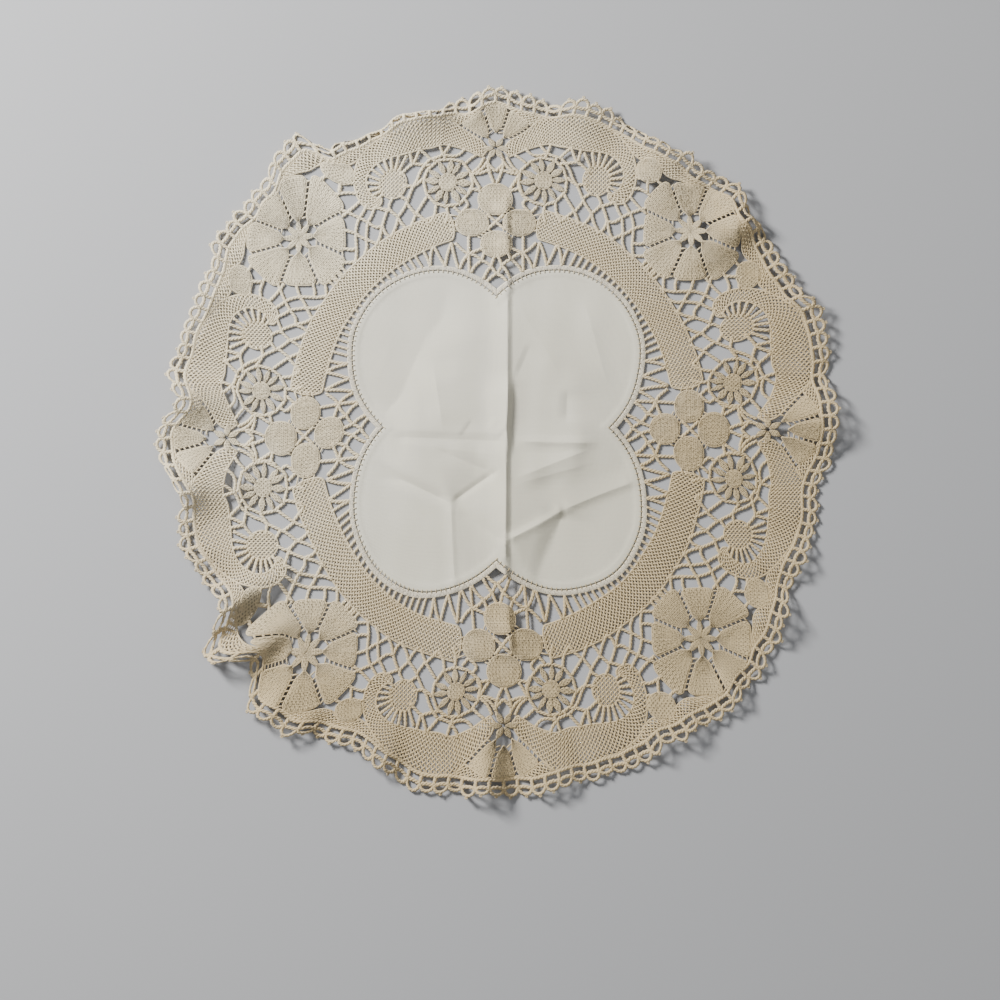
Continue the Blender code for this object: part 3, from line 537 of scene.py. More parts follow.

# Plain weave: two sets of fine raised threads that cross, from uv in millimetres. Its Shade output is
# painted shade, lighter where the threads cross and darker in the gaps between them, with the slubs' uneven
# tone.
weave, ins, outs = new_group(
    "plain_weave",
    [("Threads per mm", "NodeSocketFloat", 2.0), ("Slubs", "NodeSocketFloat", 0.4)],
    [("Height", "NodeSocketFloat"), ("Shade", "NodeSocketFloat")],
)
nodes, links = weave.nodes, weave.links
cloth_uv = nodes.new("ShaderNodeUVMap")
cloth_uv.uv_map = "thread"
apart = nodes.new("ShaderNodeSeparateXYZ")
links.new(cloth_uv.outputs[0], apart.inputs[0])
turns = math_node(nodes, "MULTIPLY", ins.outputs["Threads per mm"], math.pi)
warp = math_node(nodes, "SINE", math_node(nodes, "MULTIPLY", apart.outputs["X"], turns))
warp = math_node(nodes, "ABSOLUTE", warp)
weft = math_node(nodes, "SINE", math_node(nodes, "MULTIPLY", apart.outputs["Y"], turns))
weft = math_node(nodes, "ABSOLUTE", weft)
streak = nodes.new("ShaderNodeMapping")
streak.inputs["Scale"].default_value = (2.2, 0.06, 1)
links.new(cloth_uv.outputs[0], streak.inputs["Vector"])
slub_warp = noise(nodes, 1.0, 2.0, streak.outputs[0])
streak = nodes.new("ShaderNodeMapping")
streak.inputs["Scale"].default_value = (0.06, 2.2, 1)
links.new(cloth_uv.outputs[0], streak.inputs["Vector"])
slub_weft = noise(nodes, 1.0, 2.0, streak.outputs[0])
slub = math_node(nodes, "ADD", slub_warp, slub_weft)
threads = math_node(nodes, "MULTIPLY", warp, weft)
links.new(math_node(nodes, "MULTIPLY_ADD", slub, ins.outputs["Slubs"], threads), outs.inputs["Height"])
# painted shade: darker in the gaps between threads, plus the slubs' uneven tone
slub = math_node(nodes, "MULTIPLY", slub, 0.5)
links.new(math_node(nodes, "MULTIPLY_ADD", threads, 0.5, slub), outs.inputs["Shade"])


def cloth(name, clean, stained, mottling, height_group, height_values, bump, roughness, shade):
    """A matt cloth material: aged colour, with painted shade between its threads, and a fine bump."""
    material = bpy.data.materials.new(name)
    material.use_nodes = True
    nodes, links = material.node_tree.nodes, material.node_tree.links
    shader = nodes["Principled BSDF"]
    shader.inputs["Roughness"].default_value = roughness
    shader.inputs["Specular IOR Level"].default_value = 0.25
    shader.inputs["Sheen Weight"].default_value = 0.25
    shader.inputs["Sheen Roughness"].default_value = 0.6
    tint = nodes.new("ShaderNodeGroup")
    tint.node_tree = aged
    tint.inputs["Clean"].default_value = (*clean, 1)
    tint.inputs["Stained"].default_value = (*stained, 1)
    tint.inputs["Mottling"].default_value = mottling
    relief = nodes.new("ShaderNodeGroup")
    relief.node_tree = height_group
    for label, value in height_values.items():
        relief.inputs[label].default_value = value
    # painted shade: the relief's Shade mixes the tint towards this darker copy between threads and at pin
    # marks
    dark = mix_colour(nodes, "MULTIPLY", 1.0, tint.outputs["Color"], (shade, shade, shade, 1))
    lit = mix_colour(nodes, "MIX", relief.outputs["Shade"], dark, tint.outputs["Color"])
    links.new(lit, shader.inputs["Base Color"])
    lift = nodes.new("ShaderNodeBump")
    lift.inputs["Strength"].default_value = bump
    lift.inputs["Distance"].default_value = 0.0002
    links.new(relief.outputs["Height"], lift.inputs["Height"])
    links.new(lift.outputs["Normal"], shader.inputs["Normal"])
    return material


linen_finish = cloth(
    "bleached_linen", (0.70, 0.668, 0.566), (0.62, 0.583, 0.455), 0.25,
    weave, {"Threads per mm": 1.9, "Slubs": 0.9}, 0.2, 0.8, 0.93,
)
linen = new_piece(
    "linen_centre_cloth", np.vstack([top, bottom]), faces, linen_uv, linen_finish, "linen_centre"
)
x, y = outline.T
linen_area = 0.5 * abs(np.sum(x * np.roll(y, -1) - y * np.roll(x, -1))) / 1e6


# ==== The half-stitch tapes ===============================================================
# The round inner trail, and the outer trails that arch over the wheels and hook round to their
# buds. Each is a tape of pairs that run slantwise to and fro, so that it shows rows of pinholes,
# worked in ecru linen thread on a pillow.

TRAIL_RADIUS = 93.0
TRAIL_WIDTH = 14.0
TRAIL_START = 11.5
PINHOLES = 1.886  # along the tape, from one pinhole of a row to the next
PAIR = 0.33  # half the width of a pair of threads
TRAIL_EDGES = table(
    "ix iy ox oy",
    (5.9, 121.6, 3.6, 124.6),
    (9.5, 123.9, 5.8, 129.6),
    (14.0, 126.6, 11.4, 134.9),
    (19.0, 128.2, 17.0, 140.0),
    (23.5, 128.7, 22.3, 143.6),
    (28.5, 126.6, 29.0, 142.3),
    (33.5, 125.9, 36.0, 140.4),
    (39.0, 124.8, 43.5, 137.9),
    (45.0, 124.2, 51.0, 134.6),
    (50.5, 123.0, 57.0, 130.0),
    (54.6, 120.2, 61.0, 124.6),
    (57.2, 116.2, 63.0, 118.2),
    (57.7, 111.8, 63.4, 111.8),
    (56.2, 107.8, 61.6, 105.4),
    (53.2, 105.4, 57.8, 101.2),
    (51.6, 105.0, 53.4, 100.6),
    (50.4, 105.0, 50.6, 102.6),
)
CAP_EDGES = table(
    "ix iy ox oy",
    (4.5, 146.9, 5.0, 147.3),
    (7.4, 146.1, 8.6, 147.0),
    (10.9, 144.5, 12.6, 146.5),
    (13.9, 142.3, 16.8, 145.5),
    (16.6, 140.2, 20.2, 144.5),
    (18.4, 141.2, 21.6, 144.1),
)
CORNER_EDGES = table(
    "ix iy ox oy",
    (53.5, 133.3, 54.2, 133.8),
    (58.4, 128.8, 60.5, 130.4),
    (61.8, 123.6, 66.0, 126.6),
    (65.5, 120.8, 69.2, 125.1),
    (69.6, 121.4, 72.6, 123.8),
    (73.8, 119.6, 77.2, 121.4),
    (76.4, 115.8, 80.8, 120.2),
    (80.5, 113.6, 85.8, 117.9),
    (87.0, 113.2, 92.0, 114.9),
    (94.5, 111.4, 97.6, 111.6),
)
BUD = (45.3, 111.0)
BUD_RADII = (6.1, 6.7)
BUD_LEGS = [(-24, 13.9), (-9, 13.2), (6, 13.1), (21, 13.2), (36, 12.7), (52, 13.2)]
BUD_LEGS += [(68, 13.0), (84, 12.4), (100, 12.0), (116, 11.2), (132, 10.0)]
ROUND = [(-1.0, 0.0), (0.0, 1.0), (1.0, 0.0), (0.0, -1.0)]
FLAT = [(-1.0, -0.5), (0.0, 1.0), (1.0, -0.5)]


def smooth_line(rows, columns, steps):
    """Points on a smooth curve through the rows of a table."""
    p = np.array([[row[c] for c in columns] for row in rows], float)
    p = np.vstack([2 * p[0] - p[1], p, 2 * p[-1] - p[-2]])
    found = []
    for a, b, c, d in zip(p, p[1:], p[2:], p[3:]):
        for t in np.arange(steps) / steps:
            bend = (2 * a - 5 * b + 4 * c - d) * t**2 + (3 * b - a - 3 * c + d) * t**3
            found.append(0.5 * (2 * b + (c - a) * t + bend))
    return np.array(found + [p[-2]])


def at_spacing(line, spacing):
    """The line with its points at an even spacing."""
    line = np.asarray(line, float)
    run = np.concatenate([[0], np.cumsum(np.hypot(*np.diff(line[:, :2], axis=0).T))])
    count = max(2, int(round(run[-1] / spacing)) + 1)
    s = np.linspace(0, run[-1], count)
    return np.column_stack([np.interp(s, run, column) for column in line.T])


def cords(lines, wide, high, profile=ROUND):
    """(flat points, faces, corner uv) of cords along lines of flat points (x, y, height)."""
    profile = np.array(profile)
    k = len(profile)
    alike = {}
    for line in lines:
        alike.setdefault(len(line), []).append(line)
    points, quads, caps, quad_uv, cap_uv = [], [], [], [], []
    start = 0
    for n, group in alike.items():
        p = np.array(group)
        along = np.gradient(p[:, :, :2], axis=1)
        along /= np.linalg.norm(along, axis=2)[:, :, None] + 1e-9
        side = np.stack([-along[..., 1], along[..., 0]], axis=-1)
        ring = np.empty((len(p), n, k, 3))
        ring[..., :2] = p[:, :, None, :2] + side[:, :, None] * (profile[:, 0] * wide)[:, None]
        ring[..., 2] = p[:, :, None, 2] + profile[:, 1] * high
        points.append(ring.reshape(-1, 3))
        index = start + np.arange(len(p) * n * k).reshape(len(p), n, k)
        start += index.size
        after = np.roll(index, -1, axis=2)
        quads.append(np.stack([index[:, :-1], index[:, 1:], after[:, 1:], after[:, :-1]], -1).reshape(-1, 4))
        caps += [index[:, 0], index[:, -1, ::-1]]
        step = np.linalg.norm(np.diff(p, axis=1), axis=2)
        run = np.concatenate([np.zeros((len(p), 1)), np.cumsum(step, axis=1)], axis=1)
        u = np.broadcast_to(run[:, :, None], (len(p), n, k))
        v = np.broadcast_to(np.arange(k) / k, (len(p), n, k))
        near, far, low = u[:, :-1], u[:, 1:], v[:, 1:]
        square = [(near, low), (far, low), (far, low + 1 / k), (near, low + 1 / k)]
        quad_uv.append(np.stack([np.stack(c, -1) for c in square], axis=3).reshape(-1, 2))
        cap_uv.append(np.zeros((2 * len(p) * k, 2)))
    faces = [np.concatenate(quads), np.concatenate(caps)]
    return np.concatenate(points), faces, np.concatenate(quad_uv + cap_uv)


def joined(parts):
    """Several (points, faces, uv) as one."""
    points, faces, uv, start = [], [], [], 0
    for p, f, t in parts:
        points.append(p)
        faces += [face + start for face in f]
        uv.append(t)
        start += len(p)
    return np.concatenate(points), faces, np.concatenate(uv)


def everywhere(lines, flips=(1, -1)):
    """The lines of one eighth, or of one quarter, all the way round."""
    return [turned(line, quarter, flip) for quarter in range(4) for flip in flips for line in lines]


def clipped(line, depth):
    """The stretches of a line where depth is above zero, cut off just where it reaches zero."""
    turns = np.flatnonzero(np.diff((depth > 0).astype(int)))
    found = []
    for a, b in zip(turns[::2], turns[1::2]):
        first = line[a] + (line[a + 1] - line[a]) * depth[a] / (depth[a] - depth[a + 1])
        last = line[b] + (line[b + 1] - line[b]) * depth[b] / (depth[b] - depth[b + 1])
        found.append(np.vstack([first, line[a + 1 : b + 1], last]))
    return found


def tape(inner, outer):
    """The slanting pairs, the weavers and the hem of a half-stitch tape between two edge lines."""
    inner, outer = np.asarray(inner, float), np.asarray(outer, float)
    middle = (inner + outer) / 2
    half = np.hypot(*(outer - inner).T) / 2
    across = (outer - inner) / (2 * half[:, None] + 1e-9)
    run = np.concatenate([[0], np.cumsum(np.hypot(*np.diff(middle, axis=0).T))])
    length = run[-1]

    def at(line):
        s, d, height = line.T
        x, y, east, north = [np.interp(s, run, column) for column in (*middle.T, *across.T)]
        return np.column_stack([x + east * d, y + north * d, height])

    def cut(s, d, height):
        depth = np.minimum(np.interp(s, run, half) - np.abs(d), np.minimum(s, length - s))
        depth[[0, -1]] = np.minimum(depth[[0, -1]], -1e-6)
        return [at(piece) for piece in clipped(np.column_stack([s, d, height]), depth)]

    nodes = int(half.max() / (PINHOLES / 2)) + 2
    j = np.arange(-nodes, nodes + 1)
    d = j * PINHOLES / 2
    slants, weavers = [], []
    for k in range(-nodes, int(length / PINHOLES) + nodes + 1):
        for way in (1, -1):
            slants += cut(k * PINHOLES + way * d, d, 0.17 * way * np.where(j % 2 == 0, 1.0, -1.0))
    d = d[j % 4 == 0]
    d = np.concatenate([[2 * d[0]], d, [2 * d[-1]]])
    for k in range(int(2 * length / PINHOLES)):
        weavers += cut(np.full(len(d), (k + 0.5) * PINHOLES / 2), d, np.zeros(len(d)))
    hem = at_spacing(np.vstack([inner, outer[::-1], inner[:1]]), 1.2)
    return slants, weavers, [np.column_stack([hem, np.zeros(len(hem))])]


def round_ended(middle, radius_in, radius_out, start, end, cap):
    """The edges of a tape along an arc about the middle of the doily, rounded at its ends."""
    turn = np.linspace(start, end, 121)
    far = radius_out - radius_in
    near = np.radians(np.minimum(turn - start, end - turn)) * (radius_in + radius_out) / 2
    width = far * np.sqrt(1 - (1 - np.clip(near / cap, 0.05, 1)) ** 2)
    mid = (radius_in + radius_out) / 2
    inner = np.array([polar(mid - w / 2, t, middle) for w, t in zip(width, turn)])
    outer = np.array([polar(mid + w / 2, t, middle) for w, t in zip(width, turn)])
    return inner, outer


trail_in, trail_out = TRAIL_RADIUS - TRAIL_WIDTH / 2, TRAIL_RADIUS + TRAIL_WIDTH / 2
inner_trail = tape(*round_ended((0, 0), trail_in, trail_out, TRAIL_START, 90 - TRAIL_START, 2.4))
hook = smooth_line(TRAIL_EDGES, ("ix", "iy", "ox", "oy"), 6)
outer_trail = tape(hook[:, :2], hook[:, 2:])
fillings = []
for rows in (CAP_EDGES, CORNER_EDGES):
    edges = smooth_line(rows, ("ix", "iy", "ox", "oy"), 6)
    fillings.append(tape(edges[:, :2], edges[:, 2:]))
x = np.linspace(-1, 1, 41)
bulge = BUD_RADII[1] * np.sqrt(np.clip(1 - x**2, 0.02, 1))
fillings.append(tape(
    np.column_stack([BUD[0] + BUD_RADII[0] * x, BUD[1] - bulge]),
    np.column_stack([BUD[0] + BUD_RADII[0] * x, BUD[1] + bulge]),
))
slants, weavers, hems = (
    everywhere(of_quarter, (1,)) + everywhere(of_eighth)
    for of_quarter, of_eighth in zip(inner_trail, outer_trail)
)

# A twisted thread: fine slanting plies round it, from uv (millimetres along, turns round). Its Shade output
# is painted shade, darker in the grooves between the plies, with fine random fuzz.
twist, ins, outs = new_group(
    "twisted_thread",
    [("Plies per mm", "NodeSocketFloat", 1.4), ("Fuzz", "NodeSocketFloat", 0.4)],
    [("Height", "NodeSocketFloat"), ("Shade", "NodeSocketFloat")],
)
nodes, links = twist.nodes, twist.links
cloth_uv = nodes.new("ShaderNodeUVMap")
cloth_uv.uv_map = "thread"
apart = nodes.new("ShaderNodeSeparateXYZ")
links.new(cloth_uv.outputs[0], apart.inputs[0])
turn = math_node(nodes, "MULTIPLY_ADD", apart.outputs["X"], ins.outputs["Plies per mm"], apart.outputs["Y"])
ply = math_node(nodes, "ABSOLUTE", math_node(nodes, "SINE", math_node(nodes, "MULTIPLY", turn, 2 * math.pi)))
fuzz = noise(nodes, 2600.0, 2.0, nodes.new("ShaderNodeTexCoord").outputs["Object"])
links.new(math_node(nodes, "MULTIPLY_ADD", fuzz, ins.outputs["Fuzz"], ply), outs.inputs["Height"])
# painted shade: darker in the grooves between the plies, plus the fuzz's random tone
fuzz = math_node(nodes, "MULTIPLY", fuzz, 0.6)
links.new(math_node(nodes, "MULTIPLY_ADD", ply, 0.5, fuzz), outs.inputs["Shade"])

ECRU = (0.91, 0.80, 0.57)
YELLOWED = (0.58, 0.445, 0.235)
thread_finish = cloth(
    "ecru_thread", ECRU, YELLOWED, 0.35, twist, {"Plies per mm": 1.4, "Fuzz": 0.5}, 0.5, 0.85, 0.8
)


def half_stitch(slants, weavers, hems, hem_wide, hem_high):
    """The pairs, the flatter weavers and the hems of tapes, as one."""
    return joined([
        cords(slants, PAIR, 0.2),
        cords(weavers, 0.22, 0.16, FLAT),
        cords(hems, hem_wide, hem_high),
    ])


made = half_stitch(slants, weavers, hems, 0.42, 0.3)
trails = lace_piece("half_stitch_trails", made, thread_finish)
made = half_stitch(*(everywhere(sum(lines, [])) for lines in zip(*fillings)), 0.36, 0.28)
lace = [lace_piece("half_stitch_fillings", made, thread_finish)]


# ==== The cloth-stitch petals and discs ===================================================
# Petals of the flowers and fans, and the small discs, woven close like cloth. The weaver passes
# over and under each hanging pair, and the petals are joined by little bars across their slots.

SMALL_FLOWER = (0.0, 91.5)
SMALL_PETALS = table(
    "x y across along",
    (-10.4, 0.3, 7.2, 6.3),
    (10.4, 0.3, 7.2, 6.3),
    (0.0, -10.0, 6.7, 6.3),
    (0.0, 11.1, 7.4, 6.8),
)
BIG_PETALS = table(
    "bearing end",
    (0, 22.8),
    (45, 23.0),
    (90, 22.8),
    (135, 24.8),
    (180, 22.0),
    (225, 24.0),
    (270, 22.0),
    (315, 24.8),
)
WHEEL = (20.9, 110.7)
WHEEL_DISC = 3.8
FILLER = (69.6, 116.2)
BIG_FLOWER = (89.6, 89.6)
FAN = (0.0, 125.7)
chance = np.random.default_rng(7)  # the unevenness of hand work


def woven(grid, relief=0.15, half=0.3, streaks=0.02):
    """(flat points, faces, uv) of a close-woven patch over a grid (rows, columns, xy)."""
    rows, columns = grid.shape[:2]
    i, j = np.meshgrid(np.arange(rows), np.arange(columns), indexing="ij")
    ridges = streaks * np.convolve(chance.standard_normal(columns + 2), (0.3, 0.7, 0.3), "valid")
    uneven = 0.07 * chance.standard_normal((rows, columns))
    bump = relief * np.where((i + j) % 2 == 0, 1, -1) + np.clip(ridges, -0.1, 0.1) + uneven
    rim = (i == 0) | (j == 0) | (i == rows - 1) | (j == columns - 1)
    top = np.dstack([grid, np.where(rim, 0.2, half + bump)])
    bottom = np.dstack([grid, np.where(rim, -0.2, bump - half)])
    index = np.arange(rows * columns).reshape(rows, columns)
    quads = np.stack([index[:-1, :-1], index[1:, :-1], index[1:, 1:], index[:-1, 1:]], -1).reshape(-1, 4)
    count = rows * columns
    ring = np.concatenate([index[0, :-1], index[:-1, -1], index[-1, :0:-1], index[:0:-1, 0]])
    after = np.roll(ring, -1)
    walls = np.column_stack([ring, after, after + count, ring + count])
    points = np.concatenate([top.reshape(-1, 3), bottom.reshape(-1, 3)])
    faces = [quads, quads[:, ::-1] + count, walls]
    steps = np.column_stack([np.tile(i.ravel(), 2), np.tile(j.ravel(), 2)]) * 0.55
    steps += 40 * chance.random(2)
    uv = steps[np.concatenate([f.ravel() for f in faces])]
    return points, faces, uv


def rightly_wound(part):
    """The part with its faces turned outward."""
    points, faces, uv = part
    quads = faces[0]
    a, b, c = points[quads[0, 0]], points[quads[0, 1]], points[quads[0, 2]]
    if np.cross((b - a)[:2], (c - a)[:2]) > 0:
        return part
    return points, [f[:, ::-1] for f in faces], uv


def oval(centre, across, along, power=2.0, pitch=0.56):
    """A grid over a rounded shape: an ellipse, or squarer with a higher power."""
    rows, columns = int(2 * along / pitch) + 1, int(2 * across / pitch) + 1
    v = np.linspace(-1, 1, rows)[:, None]
    u = np.linspace(-1, 1, columns)[None, :]
    reach = np.clip(1 - np.abs(v) ** power, 0.04, 1) ** (1 / power)
    return np.dstack([centre[0] + u * reach * across, centre[1] + v * along + 0 * u])


def petal(centre, bearing, start, end, spread, slot, pitch=0.62):
    """A grid over a petal that widens from a pointed foot, clear of its neighbours by slot."""
    rows = int((end - start) / pitch) + 1
    columns = 2 * int(math.radians(spread) * (start + 2 * end) / 3 / pitch) + 1
    r = np.linspace(start, end, rows)[:, None]
    u = np.linspace(-1, 1, columns)[None, :]
    half = math.radians(spread) - np.arcsin(np.minimum(slot / r, 0.9))
    half = half * (0.15 + 0.85 * smooth((r - start) / 4.0) ** 0.7)
    away = math.radians(bearing) + u * half
    crown = 1 + (0.05 * u**2 - 0.09 * u**6) * smooth((r - start) / (end - start))
    return np.dstack([centre[0] + r * crown * np.sin(away), centre[1] + r * crown * np.cos(away)])


def border(grid):
    """The edge of a grid as a closed line of flat points, for its edge pair."""
    ring = np.vstack([grid[:-1, 0], grid[-1, :-1], grid[:0:-1, -1], grid[0, ::-1]])
    line = at_spacing(ring, 1.0)
    return np.column_stack([line, np.full(len(line), 0.06)])


def bars(centre, bearing, start, end, half, spacing):
    """Short slanting bars across the slot between two petals."""
    found = []
    for r in np.arange(start, end, spacing):
        lean = 0.35 + 0.25 * chance.random()
        x, y = polar(r, bearing, centre)
        ax, ay = polar(half, bearing + 90)
        bx, by = polar(lean, bearing)
        ends = (x - ax - bx, y - ay - by, 0.0), (x + ax + bx, y + ay + by, 0.0)
        found.append(np.array([ends[0], (x, y, 0.08), ends[1]]))
    return found


patches = []
for quarter in range(4):
    for row in SMALL_PETALS:
        centre = (SMALL_FLOWER[0] + row["x"], SMALL_FLOWER[1] + row["y"])
        patches.append(turned(oval(centre, row["across"], row["along"], 2.1), quarter, 1))
    for row in BIG_PETALS:
        grid = petal(BIG_FLOWER, row["bearing"], 6.8, row["end"], 22.5, 0.9)
        patches.append(turned(grid, quarter, 1))
    for bearing, foot in ((-31.7, 6.4), (0.0, 8.0), (31.7, 6.4)):
        patches.append(turned(petal(FAN, bearing, foot, 21.4, 15.9, 0.85), quarter, 1))
    for flip in (1, -1):
        patches.append(turned(oval(WHEEL, WHEEL_DISC, WHEEL_DISC), quarter, flip))
        patches.append(turned(oval(FILLER, 6.0, 5.3, 2.2), quarter, flip))
edge_pairs = [border(grid) for grid in patches]
petals = joined([rightly_wound(woven(grid)) for grid in patches])

# Cloth stitch: close threads both ways, with rows of tiny pin marks that come and go. The pin marks dent the
# bump and are painted into the colour as dark dots, painted shade in the pinholes.
pinned, ins, outs = new_group(
    "pin_marked_weave",
    [
        ("Threads per mm", "NodeSocketFloat", 1.8),
        ("Slubs", "NodeSocketFloat", 0.6),
        ("Pin marks", "NodeSocketFloat", 0.5),
    ],
    [("Height", "NodeSocketFloat"), ("Shade", "NodeSocketFloat")],
)
nodes, links = pinned.nodes, pinned.links
plain = nodes.new("ShaderNodeGroup")
plain.node_tree = weave
links.new(ins.outputs["Threads per mm"], plain.inputs["Threads per mm"])
links.new(ins.outputs["Slubs"], plain.inputs["Slubs"])
cloth_uv = nodes.new("ShaderNodeUVMap")
cloth_uv.uv_map = "thread"
apart = nodes.new("ShaderNodeSeparateXYZ")
links.new(cloth_uv.outputs[0], apart.inputs[0])
waves = []
for sign in ("ADD", "SUBTRACT"):
    way = math_node(nodes, sign, apart.outputs["X"], apart.outputs["Y"])
    wave = math_node(nodes, "COSINE", math_node(nodes, "MULTIPLY", way, 1.75))
    waves.append(math_node(nodes, "ABSOLUTE", wave))
marks = math_node(nodes, "POWER", math_node(nodes, "MULTIPLY", *waves), 3.0)
patchy = noise(nodes, 0.16, 1.0, cloth_uv.outputs[0])
patchy = math_node(nodes, "MULTIPLY_ADD", patchy, 3.0, -0.6)
patchy = math_node(nodes, "MINIMUM", math_node(nodes, "MAXIMUM", patchy, 0.0), 1.0)
marks = math_node(nodes, "MULTIPLY", math_node(nodes, "MULTIPLY", marks, patchy), ins.outputs["Pin marks"])
links.new(math_node(nodes, "SUBTRACT", plain.outputs["Height"], marks), outs.inputs["Height"])
# painted shade: the weave's darker gaps between threads, then dark dots at the pin marks
shade = math_node(nodes, "MULTIPLY_ADD", plain.outputs["Shade"], 0.5, 0.5)
links.new(math_node(nodes, "SUBTRACT", shade, marks), outs.inputs["Shade"])

stitch_finish = cloth(
    "cloth_stitch", ECRU, YELLOWED, 0.35,
    pinned, {"Threads per mm": 1.8, "Slubs": 0.9, "Pin marks": 1.7}, 0.9, 0.88, 0.42,
)
lace.append(lace_piece("cloth_stitch_petals", petals, stitch_finish))

slots = []
for bearing in range(0, 360, 45):
    slots += bars(BIG_FLOWER, bearing + 22.5, 9.0, 22.6, 1.15, 2.2)
for bearing in (-47.6, -15.85, 15.85, 47.6):
    slots += bars(FAN, bearing, 8.6, 21.0, 1.1, 2.2)
for x, y in ((5.2, 6.0), (5.0, -5.2)):
    joint = (SMALL_FLOWER[0] + x, SMALL_FLOWER[1] + y)
    slots += bars(joint, 45 if y > 0 else 135, -2.6, 2.7, 1.2, 1.7)
    slots += bars((-joint[0], joint[1]), -45 if y > 0 else -135, -2.6, 2.7, 1.2, 1.7)
for y in (88.0, 90.4, 92.8, 95.2):
    for side in (1, -1):
        bar = [(16.6 * side, y, 0.0), (18.4 * side, y + 0.4, 0.1), (20.4 * side, y + 0.9, 0.0)]
        slots.append(np.array(bar))
made = joined([cords(everywhere(slots, (1,)), 0.34, 0.26), cords(edge_pairs, 0.3, 0.3)])
lace.append(lace_piece("petal_bars", made, thread_finish))


# ==== The leaves ==========================================================================
# Pointed woven leaves, worked on four threads: twelve stand round each wheel's disc, eight fill
# the middle of each big flower and six the foot of each fan.

WHEEL_RING = 11.7


def leaf(start, end, width):
    """A grid over a pointed leaf between two points."""
    start, end = np.array(start), np.array(end)
    along = (end - start) / np.hypot(*(end - start))
    side = np.array([along[1], -along[0]])
    rows = int(np.hypot(*(end - start)) / 0.62) + 1
    v = np.linspace(0, 1, rows)
    half = width / 2 * np.clip(np.sin(np.pi * v**0.9), 0.2, 1)
    u = np.linspace(-1, 1, 7)
    return start + v[:, None, None] * (end - start) + (half[:, None] * u)[:, :, None] * side


grids = []
rings = []
outward = math.degrees(math.atan2(*WHEEL))
for quarter in range(4):
    for flip in (1, -1):
        tips = []
        for k in range(12):
            turn = outward + 15 + 30 * k + 3 * chance.standard_normal()
            tip = polar(WHEEL_RING - 0.8 + 0.25 * chance.standard_normal(), turn, WHEEL)
            foot = polar(WHEEL_DISC - 0.4, turn, WHEEL)
            grids.append(turned(leaf(foot, tip, 2.2 + 1.1 * chance.random()), quarter, flip))
            tips.append(tip)
        rings.append(turned(np.array(tips + tips[:1]), quarter, flip))
    for k in range(8):
        grids.append(turned(leaf(BIG_FLOWER, polar(8.6, 45 * k, BIG_FLOWER), 2.9), quarter, 1))
    for k in range(6):
        side = 60 * k + 30
        grids.append(turned(leaf(polar(0.7, side, FAN), polar(6.2, side, FAN), 2.7), quarter, 1))
made = joined([rightly_wound(woven(grid, 0.1, 0.32, 0.0)) for grid in grids])
lace.append(lace_piece("woven_leaves", made, stitch_finish))


# ==== The plaited ground ==================================================================
# Plaits of four threads cross in a lattice behind the hooks, tie the small flowers and the
# wheels to their neighbours, and zigzag between the footing and the inner trail.

PLAIT = 1.75
